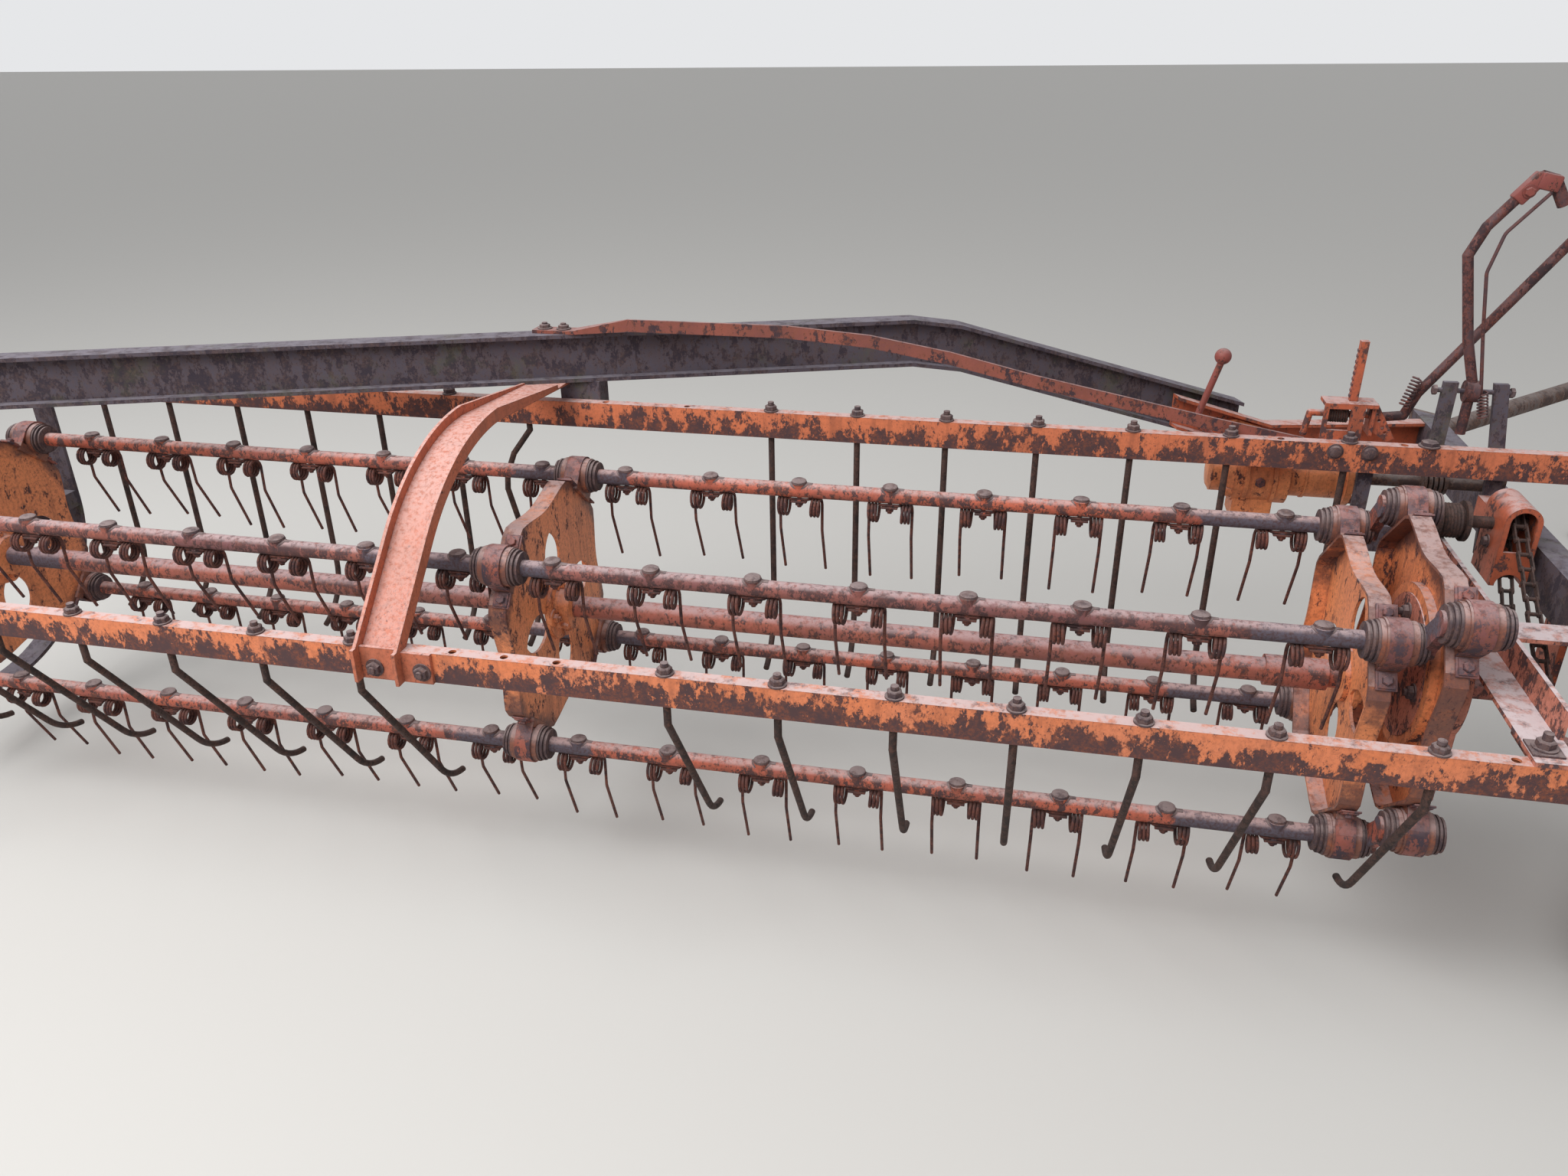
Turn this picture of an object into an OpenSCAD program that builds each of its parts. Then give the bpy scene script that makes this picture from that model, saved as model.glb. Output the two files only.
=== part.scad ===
// Rotary hay rake: a side-delivery rake with a reel of four parallel tooth bars.
// Lengths are millimetres. X runs along the reel towards its leading end, Y away from
// the rear rail, Z up. The parts are laid out about the reel's axis at the middle
// spider, and in_place() moves that layout so that the origin is the hitch pin.

/* [Reel] */
// Radius of the circle that the four tooth bars run on
reel_r = 310; // [300:5:320]
// Angle of the far upper tooth bar above the horizontal
reel_phase = 49.5; // [45:0.5:54]
// Outside diameter of a tooth bar
bar_d = 33.4; // [30:0.2:36]
// Outside diameter of the core tube
core_d = 48.3; // [42:0.3:54]
// Diameter of the core tube's turned shaft ends
shaft_d = 40; // [36:1:42]
// Distance of the left spider from the middle one
left_bay = 1490; // [1470:10:1530]
// Distance of the right spider from the middle one
right_bay = 1650; // [1640:5:1680]
// Spacing of the double tines along a bar
tine_pitch = 203; // [200:1:206]
// Place of the first double tine right of the middle spider
first_tine_x = 110; // [105:1:115]
// Number of double tines left of the middle spider
left_tines = 7; // [5:1:7]
// Number of double tines right of the middle spider
right_tines = 8; // [6:1:8]
// Radial running clearance in every bearing
run_fit = 0.08; // [0.05:0.01:0.1]

/* [Spiders] */
// Gap between a spider's flat lobe tips and the circle of the tooth bars
lobe_gap = 42; // [39:1:45]
// Depth of the valley between two lobes below the lobe tips
valley_depth = 32; // [24:1:40]
// Rise of a lobe's wave above the valley before the flat cuts it off
lobe_swell = 70; // [64:1:80]
// Length of the lens-shaped slot in each valley of a spider
lens_l = 122; // [100:1:128]
// Width of the lens-shaped slot
lens_w = 78; // [60:1:84]
// Distance of a slot's outer end inside the valley
lens_edge = 54; // [48:1:60]
// Thickness of the pressed spider plate
spider_t = 6; // [4:0.5:8]
// Depth of the rim flange round a spider
rim_w = 32; // [26:1:36]
// Outside diameter of a tooth bar bearing housing
housing_d = 79; // [74:1:82]
// Length of a tooth bar bearing housing
housing_l = 60; // [54:1:62]

/* [Control spider] */
// How far the control spider's axis lies behind the reel's axis
control_dy = -64; // [-68:1:-60]
// How far the control spider's axis lies above the reel's axis
control_dz = 73; // [69:1:77]
// Distance of the control spider from the right spider
control_dx = 90; // [88:1:96]
// Radius of the fixed eccentric drum that the control spider runs on
drum_r = 135; // [130:1:140]
// Diameter of a crank pin
crank_pin_d = 25; // [22:1:27]
// Thickness of a crank arm
crank_arm_t = 22; // [18:1:22]

/* [Tines] */
// Outside radius of a tine's coil
coil_r = 23; // [21:0.5:24]
// Length of a tine's coil along the bar
coil_l = 28; // [26:1:30]
// Distance from one coil's middle to the other's in a double tine
coil_gap = 75; // [72:1:80]
// Distance between the two legs of a double tine
leg_gap = 96; // [92:1:99]
// Diameter of the tine wire
tine_d = 6.6; // [6:0.1:7.2]
// Depth of the tine's tip below its bar
tine_drop = 214; // [200:1:220]
// How far the tine's tip leans forward of its coil
tine_lean = 46; // [35:1:55]

/* [Basket] */
// Height of a rail
rail_h = 61; // [56:1:66]
// Thickness of a rail
rail_t = 28; // [25:1:32]
// Wall of a rail
rail_wall = 4; // [3:0.5:5]
// Distance of the rear rail behind the reel's axis
rear_y = 481; // [475:1:490]
// Height of the rear rail's middle above the reel's axis
rear_z = 110; // [105:1:115]
// Distance of the front rail ahead of the reel's axis
front_y = 371; // [369:1:376]
// Height of the front rail's middle above the reel's axis
front_z = 330; // [326:1:334]
// Diameter of a stripper rod
rod_d = 14.3; // [12:0.1:16]

/* [Frame] */
// Height of the main beam
beam_h = 115; // [105:1:125]
// Width of the main beam's flanges
beam_w = 56; // [48:1:64]
// Height of the main beam's top above the reel's axis
beam_top = 520; // [510:1:530]
// Angle in plan between the main beam and the reel
beam_yaw = 20; // [19:0.5:21]
// Height of the end channel
cross_h = 100; // [90:1:110]
// Diameter of the tongue tube
tongue_d = 50; // [46:1:56]

/* [Wheels] */
// Outside radius of the main tyre
tyre_r = 340; // [330:1:350]
// Width of the main tyre
tyre_w = 150; // [140:1:160]
// Outside radius of the castor tyre
castor_r = 205; // [195:1:215]
// Width of the castor tyre
castor_w = 112; // [100:1:120]
// Height of the reel's axis above the ground
axis_h = 545; // [540:1:560]

/* [Hitch] */
// Distance of the hitch pin from the end channel along the tongue
hitch_reach = 1700; // [1600:10:1800]
// Height of the hitch pin above the ground
hitch_h = 430; // [400:1:460]
// Diameter of the hitch pin bore
hitch_bore = 26; // [22:0.5:30]

/* [Hidden] */
$fn = 48;
ground_z = -axis_h;
travel = 45;
travel_x = cos(travel);
travel_y = sin(travel);
draw_point = [2054, 1180];
hitch_x = draw_point[0] + hitch_reach * travel_x;
hitch_y = draw_point[1] + hitch_reach * travel_y;
hitch_z = ground_z + hitch_h;
bar_r = bar_d / 2;
lobe_r = reel_r - lobe_gap;
valley_r = lobe_r - valley_depth;
spider_x = [-left_bay, 0, right_bay];
control_x = right_bay + control_dx;
rear_top = rear_z + rail_h / 2;
front_top = front_z + rail_h / 2;
rail_left = -left_bay - 160;
rear_rail_right = 1875;
front_rail_right = 2110;
end_arm_x = 1795;
end_arm_w = 63;
chain_x = 1977;
upper_sprocket = [278, 236];
chain_low_r = 71;
chain_up_r = 36;
chain_pin_d = 8;
chain_plate_h = 12;
chain_inside = 14;
bar_left = -left_bay - housing_l / 2 - 14;
bar_right = right_bay + housing_l / 2 + 4 + crank_arm_t;
cross_z = 150;
tongue_z = cross_z - 18;
end_x = 2028;
end_w = 52;
end_back = -140;
beam_foot = [-60, 401];
beam_left_u = -2180;
knee_u = 870;
beam_right_u = 1700;
beam_fall = 17;
wheel_at = [2330, -40];
castor_x = -2020;
castor_at = [castor_x, beam_foot[1] + (castor_x - beam_foot[0]) * tan(beam_yaw)];
castor_trail = 150;
stand_side = 57;
stand_back = 255;
clevis_back = 110;

// Seats of the tyres on their rims
rim_r = 190;
rim_w_main = 118;
castor_rim_r = 101;
castor_rim_w = 100;
lip_t = 6;
lip_h = 14;
castor_lip_h = 11;
bead_fit = 0.3;

// Right-end pieces behind the front rail
gear_x = 1468;
gear_y = 520;
gear_z = 230;
arm_web_t = 8;
lever_bolt_z = 476;
lever_bolt_d = 10;

// Stripper rods stand half a pitch off the double tines; two are missing at the middle.
stripper_steps = [-7, -6, -5, -4, -3, -2, -1, 2, 3, 4, 5, 6, 7];
stripper_x0 = first_tine_x - tine_pitch / 2;
damaged_x = stripper_x0 - tine_pitch;
stripper_xs = concat([for (k = stripper_steps) stripper_x0 + k * tine_pitch], [1667]);

// Holes in the rails' tops that hold no rod: those of the missing rods and a few spare ones.
bare_holes = [stripper_x0, stripper_x0 + tine_pitch, 1775];
rear_spare = [first_tine_x];
front_spare = [stripper_x0 + 7.5 * tine_pitch];
tine_xs = [for (k = [-left_tines : right_tines - 1]) first_tine_x + k * tine_pitch];

orange = "#c8532c";
rust = "#6b3a2c";
dark = "#3a2f2b";
steel = "#6d6a68";
rubber = "#2b2a29";

// Moves the layout about the reel so that the origin is the hitch pin.
module in_place() {
    translate([-hitch_x, -hitch_y, -hitch_z]) children();
}

// A round rod between two points.
module rod(a, b, d) {
    v = b - a;
    l = norm(v);
    translate(a) rotate([0, acos(v[2] / l), atan2(v[1], v[0])]) cylinder(h = l, d = d);
}

// A round rod through a list of points, with a ball in each bend.
module bent_rod(points, d) {
    for (i = [0 : len(points) - 2]) rod(points[i], points[i + 1], d);
    for (i = [1 : len(points) - 2]) translate(points[i]) sphere(d = d + 0.4);
}

// A cylinder along X from x0 to x1.
module x_cyl(x0, x1, d) {
    translate([x0, 0, 0]) rotate([0, 90, 0]) cylinder(h = x1 - x0, d = d);
}

// A shape drawn in the Y-Z plane and extruded along X from x0.
module x_extrude(x0, length) {
    translate([x0, 0, 0]) rotate([90, 0, 90]) linear_extrude(length) children();
}

// A box from its low corner to its high corner.
module span(low, high) {
    translate(low) cube(high - low);
}

function bar_angle(i) = reel_phase + 90 * i;
function bar_y(i) = reel_r * cos(bar_angle(i));
function bar_z(i) = reel_r * sin(bar_angle(i));

// Radius of the wavy spider outline at an angle from a lobe's middle.
function wave_r(a) = min(valley_r + lobe_swell * (0.5 + 0.5 * cos(4 * a)), lobe_r / max(cos(a), 0.7));
function lobe_offset(a) = a - 90 * round(a / 90);
function spider_points(inset) = [
    for (a = [0 : 5 : 355]) let (r = wave_r(lobe_offset(a)) - inset)
        [r * cos(a + reel_phase), r * sin(a + reel_phase)]
];

// A lens along the radius at the given angle: where two circles overlap.
module lens_slot(angle, r_mid, l, w) {
    arc_r = (l * l + w * w) / (4 * w);
    rotate(angle) translate([r_mid, 0]) intersection() {
        translate([0, arc_r - w / 2]) circle(r = arc_r);
        translate([0, w / 2 - arc_r]) circle(r = arc_r);
    }
}

// A bearing housing on a lobe, with its saddle on the spider's rim.
module lobe_housing(x, bore) {
    for (i = [0 : 3]) rotate([bar_angle(i), 0, 0]) {
        difference() {
            union() {
                translate([0, reel_r, 0]) {
                    x_cyl(x - housing_l / 2, x + housing_l / 2, housing_d);
                    x_cyl(x - housing_l / 2 + 8, x - housing_l / 2 + 14, housing_d + 6);
                }
                span([x - 18, lobe_r - spider_t, -44], [x + 18, lobe_r + 14, 44]);
            }
            translate([0, reel_r, 0]) x_cyl(x - housing_l, x + housing_l, bore);
        }
    }
}

// A pressed spider: plate, rim flange and housings round the hub hole.
module spider_plate(x, hub_r, slots) {
    difference() {
        union() {
            x_extrude(x, spider_t) difference() {
                polygon(spider_points(0));
                if (slots)
                    for (i = [0 : 3])
                        lens_slot(bar_angle(i) + 45, valley_r - lens_edge - lens_l / 2, lens_l, lens_w);
            }
            x_extrude(x - rim_w, rim_w + spider_t) difference() {
                polygon(spider_points(0));
                polygon(spider_points(spider_t));
            }
            lobe_housing(x - 4, bar_d + 2 * run_fit);
        }
        x_cyl(x - 60, x + 60, 2 * hub_r);
        for (i = [0 : 3]) rotate([bar_angle(i), 0, 0]) translate([0, reel_r, 0])
            x_cyl(x - 60, x + 60, bar_d + 2 * run_fit);
    }
}

module reel_spiders() {
    color(orange) in_place() for (x = spider_x) difference() {
        union() {
            spider_plate(x, core_d / 2 + 10, true);
            x_cyl(x - 10, x + 46, 98);
            x_cyl(x + 4, x + 14, 150);
        }
        x_cyl(x - 60, x + 60, core_d + 0.4);
    }
}

// The control spider runs on the eccentric drum, beside and above the reel's axis.
module control_spider() {
    ring_r = drum_r + 20;
    color(orange) in_place() translate([0, control_dy, control_dz]) difference() {
        union() {
            x_extrude(control_x, spider_t) polygon(spider_points(0));
            x_extrude(control_x - rim_w, rim_w + spider_t) difference() {
                polygon(spider_points(0));
                polygon(spider_points(spider_t));
            }
            x_cyl(control_x - 16, control_x + 20, 2 * ring_r);
            lobe_housing(control_x, crank_pin_d + 2 * run_fit);
        }
        x_cyl(control_x - 60, control_x + 60, 2 * (drum_r + run_fit));
    }
}

// The core tube with its shaft ends and the driven sprocket.
module core_shaft() {
    color(orange) in_place() {
        x_cyl(-left_bay - 34, right_bay + 50, core_d);
        x_cyl(-left_bay - 150, chain_x + 26, shaft_d);
        x_cyl(right_bay - 150, right_bay - 34, core_d + 14);
        x_cyl(chain_x - 5, chain_x + 5, 2 * chain_low_r - chain_pin_d - 4);
        x_cyl(chain_x - 16, chain_x + 16, 66);
    }
}

// A tooth bar with its clamp washers, crank arm and crank pin.
module tooth_bar(i) {
    y = bar_y(i);
    z = bar_z(i);
    arm_x = right_bay + housing_l / 2 + 4;
    color(orange) in_place() translate([0, y, z]) {
        difference() {
            x_cyl(bar_left, bar_right, bar_d);
            x_cyl(bar_left - 1, bar_left + 40, bar_d - 8);
        }
        for (x = tine_xs) translate([x, 0, 0]) tine_bolt();
        crank_arm(arm_x);
    }
}

// Saddle washer with a domed bolt head on a bar, and the bolt's end with its nut below.
module tine_bolt() {
    rotate_extrude() polygon([[0, 0], [17, 0], [17, bar_r + 2], [14.5, bar_r + 4.4], [12.6, bar_r + 4.4],
                              [12.6, bar_r + 6.5], [9, bar_r + 9], [4, bar_r + 10], [0, bar_r + 10]]);
    translate([0, 0, -bar_r - 15]) cylinder(h = 16, d = 9.6);
    translate([0, 0, -bar_r - 12.4]) cylinder(h = 8, d = 17, $fn = 6);
}

// Cast crank arm on a bar's end, with the pin that the control spider carries.
module crank_arm(arm_x) {
    throw = norm([control_dy, control_dz]);
    x_cyl(arm_x, arm_x + crank_arm_t, 52);
    x_extrude(arm_x + 1, crank_arm_t - 2) rotate(atan2(control_dz, control_dy))
        polygon([[0, -21], [throw, -17], [throw, 17], [0, 21]]);
    translate([0, control_dy, control_dz]) {
        x_cyl(arm_x, arm_x + crank_arm_t, 44);
        x_cyl(arm_x, control_x + housing_l / 2 + 6, crank_pin_d);
    }
}

// One double tine: two coils under the bar, a keeper between them and two legs.
module double_tine(x) {
    coil_z = -bar_r - 0.3 - coil_r;
    leg_y = coil_r - tine_d / 2 - 1;
    kink_z = coil_z - (tine_drop + coil_z) * 0.36;
    turn = coil_l / 4;
    translate([x, 0, 0]) {
        for (s = [-1, 1]) {
            translate([s * coil_gap / 2 - coil_l / 2, 0, coil_z]) rotate([0, 90, 0]) rotate_extrude()
                polygon(concat(
                    [[coil_r - 2 * tine_d, 0]],
                    [for (k = [0 : 3]) each [[coil_r - 2, k * turn], [coil_r, (k + 0.3) * turn],
                                             [coil_r, (k + 0.7) * turn]]],
                    [[coil_r - 2, coil_l], [coil_r - 2 * tine_d, coil_l]]));
            bent_rod([[s * leg_gap / 2, leg_y, coil_z], [s * leg_gap / 2, leg_y, kink_z],
                      [s * leg_gap / 2, leg_y + tine_lean, -tine_drop]], tine_d);
        }
        difference() {
            span([-coil_gap / 2 + 6, -11, coil_z + coil_r - 4], [coil_gap / 2 - 6, 11, coil_z + coil_r]);
            translate([0, 0, -2 * bar_d]) cylinder(h = 2 * bar_d, d = 10.4);
        }
    }
}

module tines(i) {
    color(dark) in_place() translate([0, bar_y(i), bar_z(i)]) for (x = tine_xs) double_tine(x);
}

module tooth_bar_a() { tooth_bar(0); }
module tooth_bar_b() { tooth_bar(1); }
module tooth_bar_c() { tooth_bar(2); }
module tooth_bar_d() { tooth_bar(3); }
module tines_a() { tines(0); }
module tines_b() { tines(1); }
module tines_c() { tines(2); }
module tines_d() { tines(3); }

// A rail: a rectangular tube along X, drilled for the stripper rods and at its bare holes.
module rail(x0, x1, y, z, spare) {
    difference() {
        x_extrude(x0, x1 - x0) translate([y - rail_t / 2, z - rail_h / 2]) difference() {
            square([rail_t, rail_h]);
            translate([rail_wall, rail_wall]) square([rail_t - 2 * rail_wall, rail_h - 2 * rail_wall]);
        }
        for (x = concat(stripper_xs, bare_holes, spare))
            translate([x, y, z - rail_h]) cylinder(h = 2 * rail_h, d = rod_d + 0.6);
    }
}

module front_rail() {
    color(orange) in_place() rail(rail_left, front_rail_right, front_y, front_z, front_spare);
}

module rear_rail() {
    color(orange) in_place() rail(rail_left, rear_rail_right, -rear_y, rear_z, rear_spare);
}

// A nut and washer seated on top of a rail.
module rail_nut(z) {
    translate([0, 0, z]) {
        cylinder(h = 3, d = 26);
        translate([0, 0, 2]) cylinder(h = 11, d = 24.5, $fn = 6);
    }
}

// Each rear rod drops through the rail and sweeps forward under the reel.
module rear_strippers() {
    bend_r = 130;
    lean = 34;
    turn = 46;
    knee = rear_z - rail_h / 2 - 45;
    run = 400;
    color(dark) in_place() for (x = stripper_xs) translate([x, -rear_y, 0]) {
        rail_nut(rear_top);
        translate([0, 0, knee]) {
            cylinder(h = rear_top + 16 - knee, d = rod_d);
            sphere(d = rod_d + 0.4);
            rotate([lean, 0, 0]) {
                translate([0, 0, -run]) cylinder(h = run, d = rod_d);
                translate([0, bend_r, -run]) rotate([90, 0, -90]) rotate_extrude(angle = -turn)
                    translate([bend_r, 0]) circle(d = rod_d);
            }
        }
    }
}

// Each front rod drops through the rail and curls back under the reel. The rod at
// damaged_x has been pushed sideways; damage holds its sideways offset at each drop.
module front_strippers() {
    bend_r = 150;
    foot = -130;
    damage = [[0, 50], [-50, 114], [-74, 170], [-78, 210], [-58, 295], [-28, 410], [-20, 446]];
    bent_foot = damage[len(damage) - 1][0];
    color(dark) in_place() for (x = stripper_xs) translate([x, front_y, 0]) {
        bent = abs(x - damaged_x) < 1;
        rail_nut(front_top);
        if (bent)
            bent_rod(concat([[0, 0, front_top + 16]], [for (p = damage) [p[0], 0, front_z - p[1]]],
                            [[bent_foot, 0, foot]]), rod_d);
        else
            translate([0, 0, foot]) cylinder(h = front_top + 16 - foot, d = rod_d);
        translate([bent ? bent_foot : 0, -bend_r, foot]) rotate([90, 0, 90]) rotate_extrude(angle = -70)
            translate([bend_r, 0]) circle(d = rod_d);
    }
}

// Places a drawing of the main beam's side in its vertical plane.
module beam_plane(back, thick) {
    translate([beam_foot[0], beam_foot[1], 0]) rotate([0, 0, beam_yaw]) translate([0, back, 0])
        rotate([90, 0, 0]) linear_extrude(thick) children();
}

// Top edge of the main beam: level, then falling after the knee.
function beam_edge(drop) = [
    [beam_left_u, beam_top - drop],
    [knee_u - 60, beam_top - drop],
    [knee_u + 60, beam_top - drop - 60 * tan(beam_fall)],
    [beam_right_u, beam_top - drop - (beam_right_u - knee_u) * tan(beam_fall)]
];
function reversed(list) = [for (i = [len(list) - 1 : -1 : 0]) list[i]];

// I-section beam, cranked down at the knee.
module main_beam() {
    web_t = 7;
    flange_t = 9;
    color(dark) in_place() {
        beam_plane(web_t / 2, web_t)
            polygon(concat(beam_edge(0), reversed(beam_edge(beam_h))));
        beam_plane(beam_w / 2, beam_w)
            polygon(concat(beam_edge(0), reversed(beam_edge(flange_t))));
        beam_plane(beam_w / 2, beam_w)
            polygon(concat(beam_edge(beam_h - flange_t), reversed(beam_edge(beam_h))));
    }
}

// Orange channel that carries on from the beam's lower end to the draw point.
module beam_arm() {
    arm_t = 8;
    arm_h = 84;
    flange_w = 44;
    start_u = 1500;
    end_u = 2236;
    start_z = beam_top - (start_u - knee_u) * tan(beam_fall) - 24;
    end_z = cross_z + arm_h / 2 + 4;
    edge = [[start_u, start_z], [1760, start_z - 86], [end_u, end_z]];
    back = -beam_w / 2;
    color(orange) in_place() difference() {
        union() {
            beam_plane(back, arm_t)
                polygon(concat(edge, [for (p = reversed(edge)) [p[0], p[1] - arm_h]]));
            beam_plane(back, flange_w) polygon(concat(edge, [for (p = reversed(edge)) [p[0], p[1] - arm_t]]));
            beam_plane(back, flange_w) polygon(concat([for (p = edge) [p[0], p[1] - arm_h + arm_t]],
                                                      [for (p = reversed(edge)) [p[0], p[1] - arm_h]]));
        }
        span([end_x, draw_point[1] - 300, 0], [end_x + 200, draw_point[1] + 100, 400]);
    }
}

// Flat brace from the beam's top, twisted on edge and running down behind the front rail.
module strap_brace() {
    strap_w = 40;
    edge_w = 28;
    strap_t = 8;
    back = front_y + rail_t / 2;
    rise = [[70, 36], [450, 36], [640, 22], [820, -8], [1010, -52], [1400, -128], [1580, -160]];
    path = [for (p = rise) [p[0], beam_top + p[1]]];
    color(orange) in_place() {
        span([-160, back - 18, beam_top], [-60, back - 18 + strap_w, beam_top + strap_t]);
        hull() {
            span([-62, back - 18, beam_top], [-60, back - 18 + strap_w, beam_top + strap_t]);
            span([70, back, path[0][1] - edge_w], [72, back + strap_t, path[0][1]]);
        }
        translate([0, back + strap_t, 0]) rotate([90, 0, 0]) linear_extrude(strap_t)
            polygon(concat(path, [for (p = reversed(path)) [p[0], p[1] - edge_w]]));
    }
}

// Box post between the beam's underside and the front rail.
module center_hanger() {
    hanger_w = 100;
    color(dark) in_place()
        span([beam_foot[0] - hanger_w / 2, front_y + rail_t / 2, front_z - 22],
             [beam_foot[0] + hanger_w / 2, front_y + rail_t / 2 + 56, beam_top - beam_h]);
}

// Curved channel arm from the beam over the reel and down to the rear rail.
module curved_arm() {
    arm_w = 90;
    lip = 20;
    lip_w = 7;
    foot_flare = 58;
    x0 = beam_foot[0] - 25 - arm_w;
    foot_y = -rear_y - rail_t / 2;
    foot_z = rear_z - rail_h / 2;
    color(orange) in_place() {
        x_extrude(x0, arm_w) arm_profile(0, arm_web_t);
        for (x = [x0, x0 + arm_w - lip_w]) x_extrude(x, lip_w) arm_profile(0, arm_web_t + lip);
        span([x0 + lip_w, foot_y - arm_web_t, foot_z], [x0 + arm_w + foot_flare, foot_y, foot_z + rail_h]);
    }
}

// Side view of the curved arm between two offsets from its inner face.
module arm_profile(inner, outer) {
    bend_r = 470;
    bend_z = -45;
    slope = 45;
    leg = 260;
    foot = -rear_y - rail_t / 2;
    beam_under = beam_top - beam_h;
    arm_end = front_y + rail_t / 2;
    difference() {
        union() {
            intersection() {
                translate([0, bend_z]) difference() {
                    circle(r = bend_r + outer, $fn = 96);
                    circle(r = bend_r + inner, $fn = 96);
                }
                translate([0, bend_z])
                    polygon([[0, 0], [-2 * bend_r, 2 * bend_r * tan(slope)], [0, 2 * bend_r]]);
            }
            translate([0, bend_z]) rotate(slope) translate([-leg, bend_r + inner])
                square([leg, outer - inner]);
            polygon([[-1, bend_z + bend_r + inner], [arm_end, beam_under - arm_web_t],
                     [arm_end, beam_under], [-1, bend_z + bend_r + outer]]);
            translate([foot - outer, rear_z - rail_h / 2]) square([outer - inner, 66]);
        }
        translate([foot, 0]) square([rail_t, rear_top]);
        translate([arm_end - 70, beam_under]) square([70, 60]);
        translate([-1000, -100]) square([1000 + foot - outer, 1000 + 100]);
    }
}

// Flat hoop that closes the basket's left end and carries the reel's left bearing.
module left_end_strap() {
    strap_w = 60;
    strap_t = 10;
    x0 = rail_left + 5;
    hoop_r = 372;
    color(dark) in_place() difference() {
        union() {
            x_extrude(x0, strap_w) {
                difference() {
                    circle(r = hoop_r + strap_t, $fn = 96);
                    circle(r = hoop_r, $fn = 96);
                    translate([-600, 0]) square([1200, 600]);
                }
                translate([front_y - rail_t / 2 + 15, -1]) square([strap_t, front_z - rail_h / 2 + 1]);
                translate([-rear_y, rear_z - rail_h / 2 - strap_t]) square([rear_y - hoop_r, strap_t]);
                translate([-hoop_r - strap_t, -1]) square([strap_t, rear_z - rail_h / 2 + 1]);
                translate([0, -22]) square([hoop_r + 5, 44]);
            }
            x_cyl(x0, x0 + strap_w + 16, 86);
        }
        x_cyl(x0 - 10, x0 + strap_w + 40, shaft_d + 2 * run_fit);
    }
}

// Struts that hang the basket's left end from the main beam.
module left_hanger() {
    x0 = rail_left + 20;
    u = (x0 - beam_foot[0]) / cos(beam_yaw);
    y0 = beam_foot[1] + u * sin(beam_yaw);
    z0 = beam_top - beam_h;
    color(rust) in_place() x_extrude(x0, 50) {
        polygon([[y0 - 60, z0], [y0 + 60, z0], [y0 + 60, z0 - 12], [y0 - 50, z0 - 12],
                 [-rear_y + 12, rear_top], [-rear_y - 12, rear_top]]);
        polygon([[y0 + 30, z0], [y0 + 60, z0], [front_y + 12, front_top + 16],
                 [front_y + 12, front_top], [front_y - 12, front_top], [front_y - 12, front_top + 6],
                 [y0 + 40, z0 - 12], [y0 + 30, z0 - 12]]);
    }
}

// Angle arm from the rear rail past the reel's right end, with the eccentric drum.
module end_arm() {
    arm_t = 8;
    arm_z = rear_top;
    tie_w = 70;
    color(orange) in_place() difference() {
        union() {
            span([end_arm_x, -rear_y - rail_t / 2, arm_z],
                 [end_arm_x + end_arm_w, front_y + rail_t / 2, arm_z + arm_t]);
            span([end_arm_x + end_arm_w - arm_t, -rear_y + 60, arm_z],
                 [end_arm_x + end_arm_w, front_y + rail_t / 2, arm_z + 60]);
            span([end_arm_x, -175, -45], [end_arm_x + 10, 75, arm_z + 2]);
            translate([0, control_dy, control_dz]) x_cyl(control_x - 18, end_arm_x + 10, 2 * drum_r);
            x_cyl(end_arm_x, end_arm_x + 50, 78);
            span([end_arm_x + end_arm_w - 1, -tie_w, arm_z], [end_x, 0, arm_z + arm_t]);
        }
        x_cyl(control_x - 40, end_arm_x + 60, shaft_d + 2 * run_fit);
    }
}

// Flat post that hangs from the front rail and carries the end arm's front end.
module rail_post() {
    post_t = 12;
    y0 = front_y + rail_t / 2;
    color(rust) in_place() {
        span([1701, y0, 120], [1731, y0 + post_t, front_top - 6]);
        span([1730, y0, rear_top - 30], [1880, y0 + post_t, rear_top + 30]);
    }
}

// Gear case: ribbed barrel with a bearing cap, a belly, the output tube and its rail bracket.
module gear_case() {
    back = front_y + rail_t / 2;
    plate_z = gear_z + 70;
    color(orange) in_place() {
        translate([gear_x, gear_y, gear_z]) {
            x_cyl(0, 117, 132);
            x_cyl(20, 30, 140);
            x_cyl(80, 90, 140);
            x_cyl(-48, 2, 92);
            x_cyl(116, 240, 96);
            x_cyl(236, 250, 124);
            span([4, -44, -100], [90, 44, 0]);
            span([20, -30, 0], [80, 30, plate_z - gear_z + 2]);
        }
        span([gear_x, back, plate_z - 8], [gear_x + 110, gear_y + 40, plate_z]);
        span([gear_x, back, plate_z - 8], [gear_x + 110, back + 8, front_z - 2]);
    }
}

// Cranked rod from the case's cover up to a ball knob.
module shift_lever() {
    foot_x = gear_x - 38;
    color(rust) in_place() translate([foot_x, gear_y, gear_z]) {
        bent_rod([[0, 0, 46], [0, 0, 62], [-56, 0, 122], [-19, 0, 260]], 15);
        translate([-19, 0, 265]) sphere(d = 36);
    }
}

// Shaft from the gear case's output flange to its bearing plate on the end channel, with
// the five rings of its rubber bellows.
module drive_shaft() {
    plate_w = 76;
    color(steel) in_place() translate([0, gear_y, gear_z]) {
        x_cyl(gear_x + 250, end_x, 26);
        for (k = [0 : 4]) x_cyl(1868 + 11 * k, 1875 + 11 * k, 62 - 3 * k);
        span([end_x - 10, -plate_w / 2, cross_z - gear_z], [end_x, plate_w / 2, 42]);
        x_cyl(end_x - 22, end_x - 9, 54);
    }
}

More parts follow.
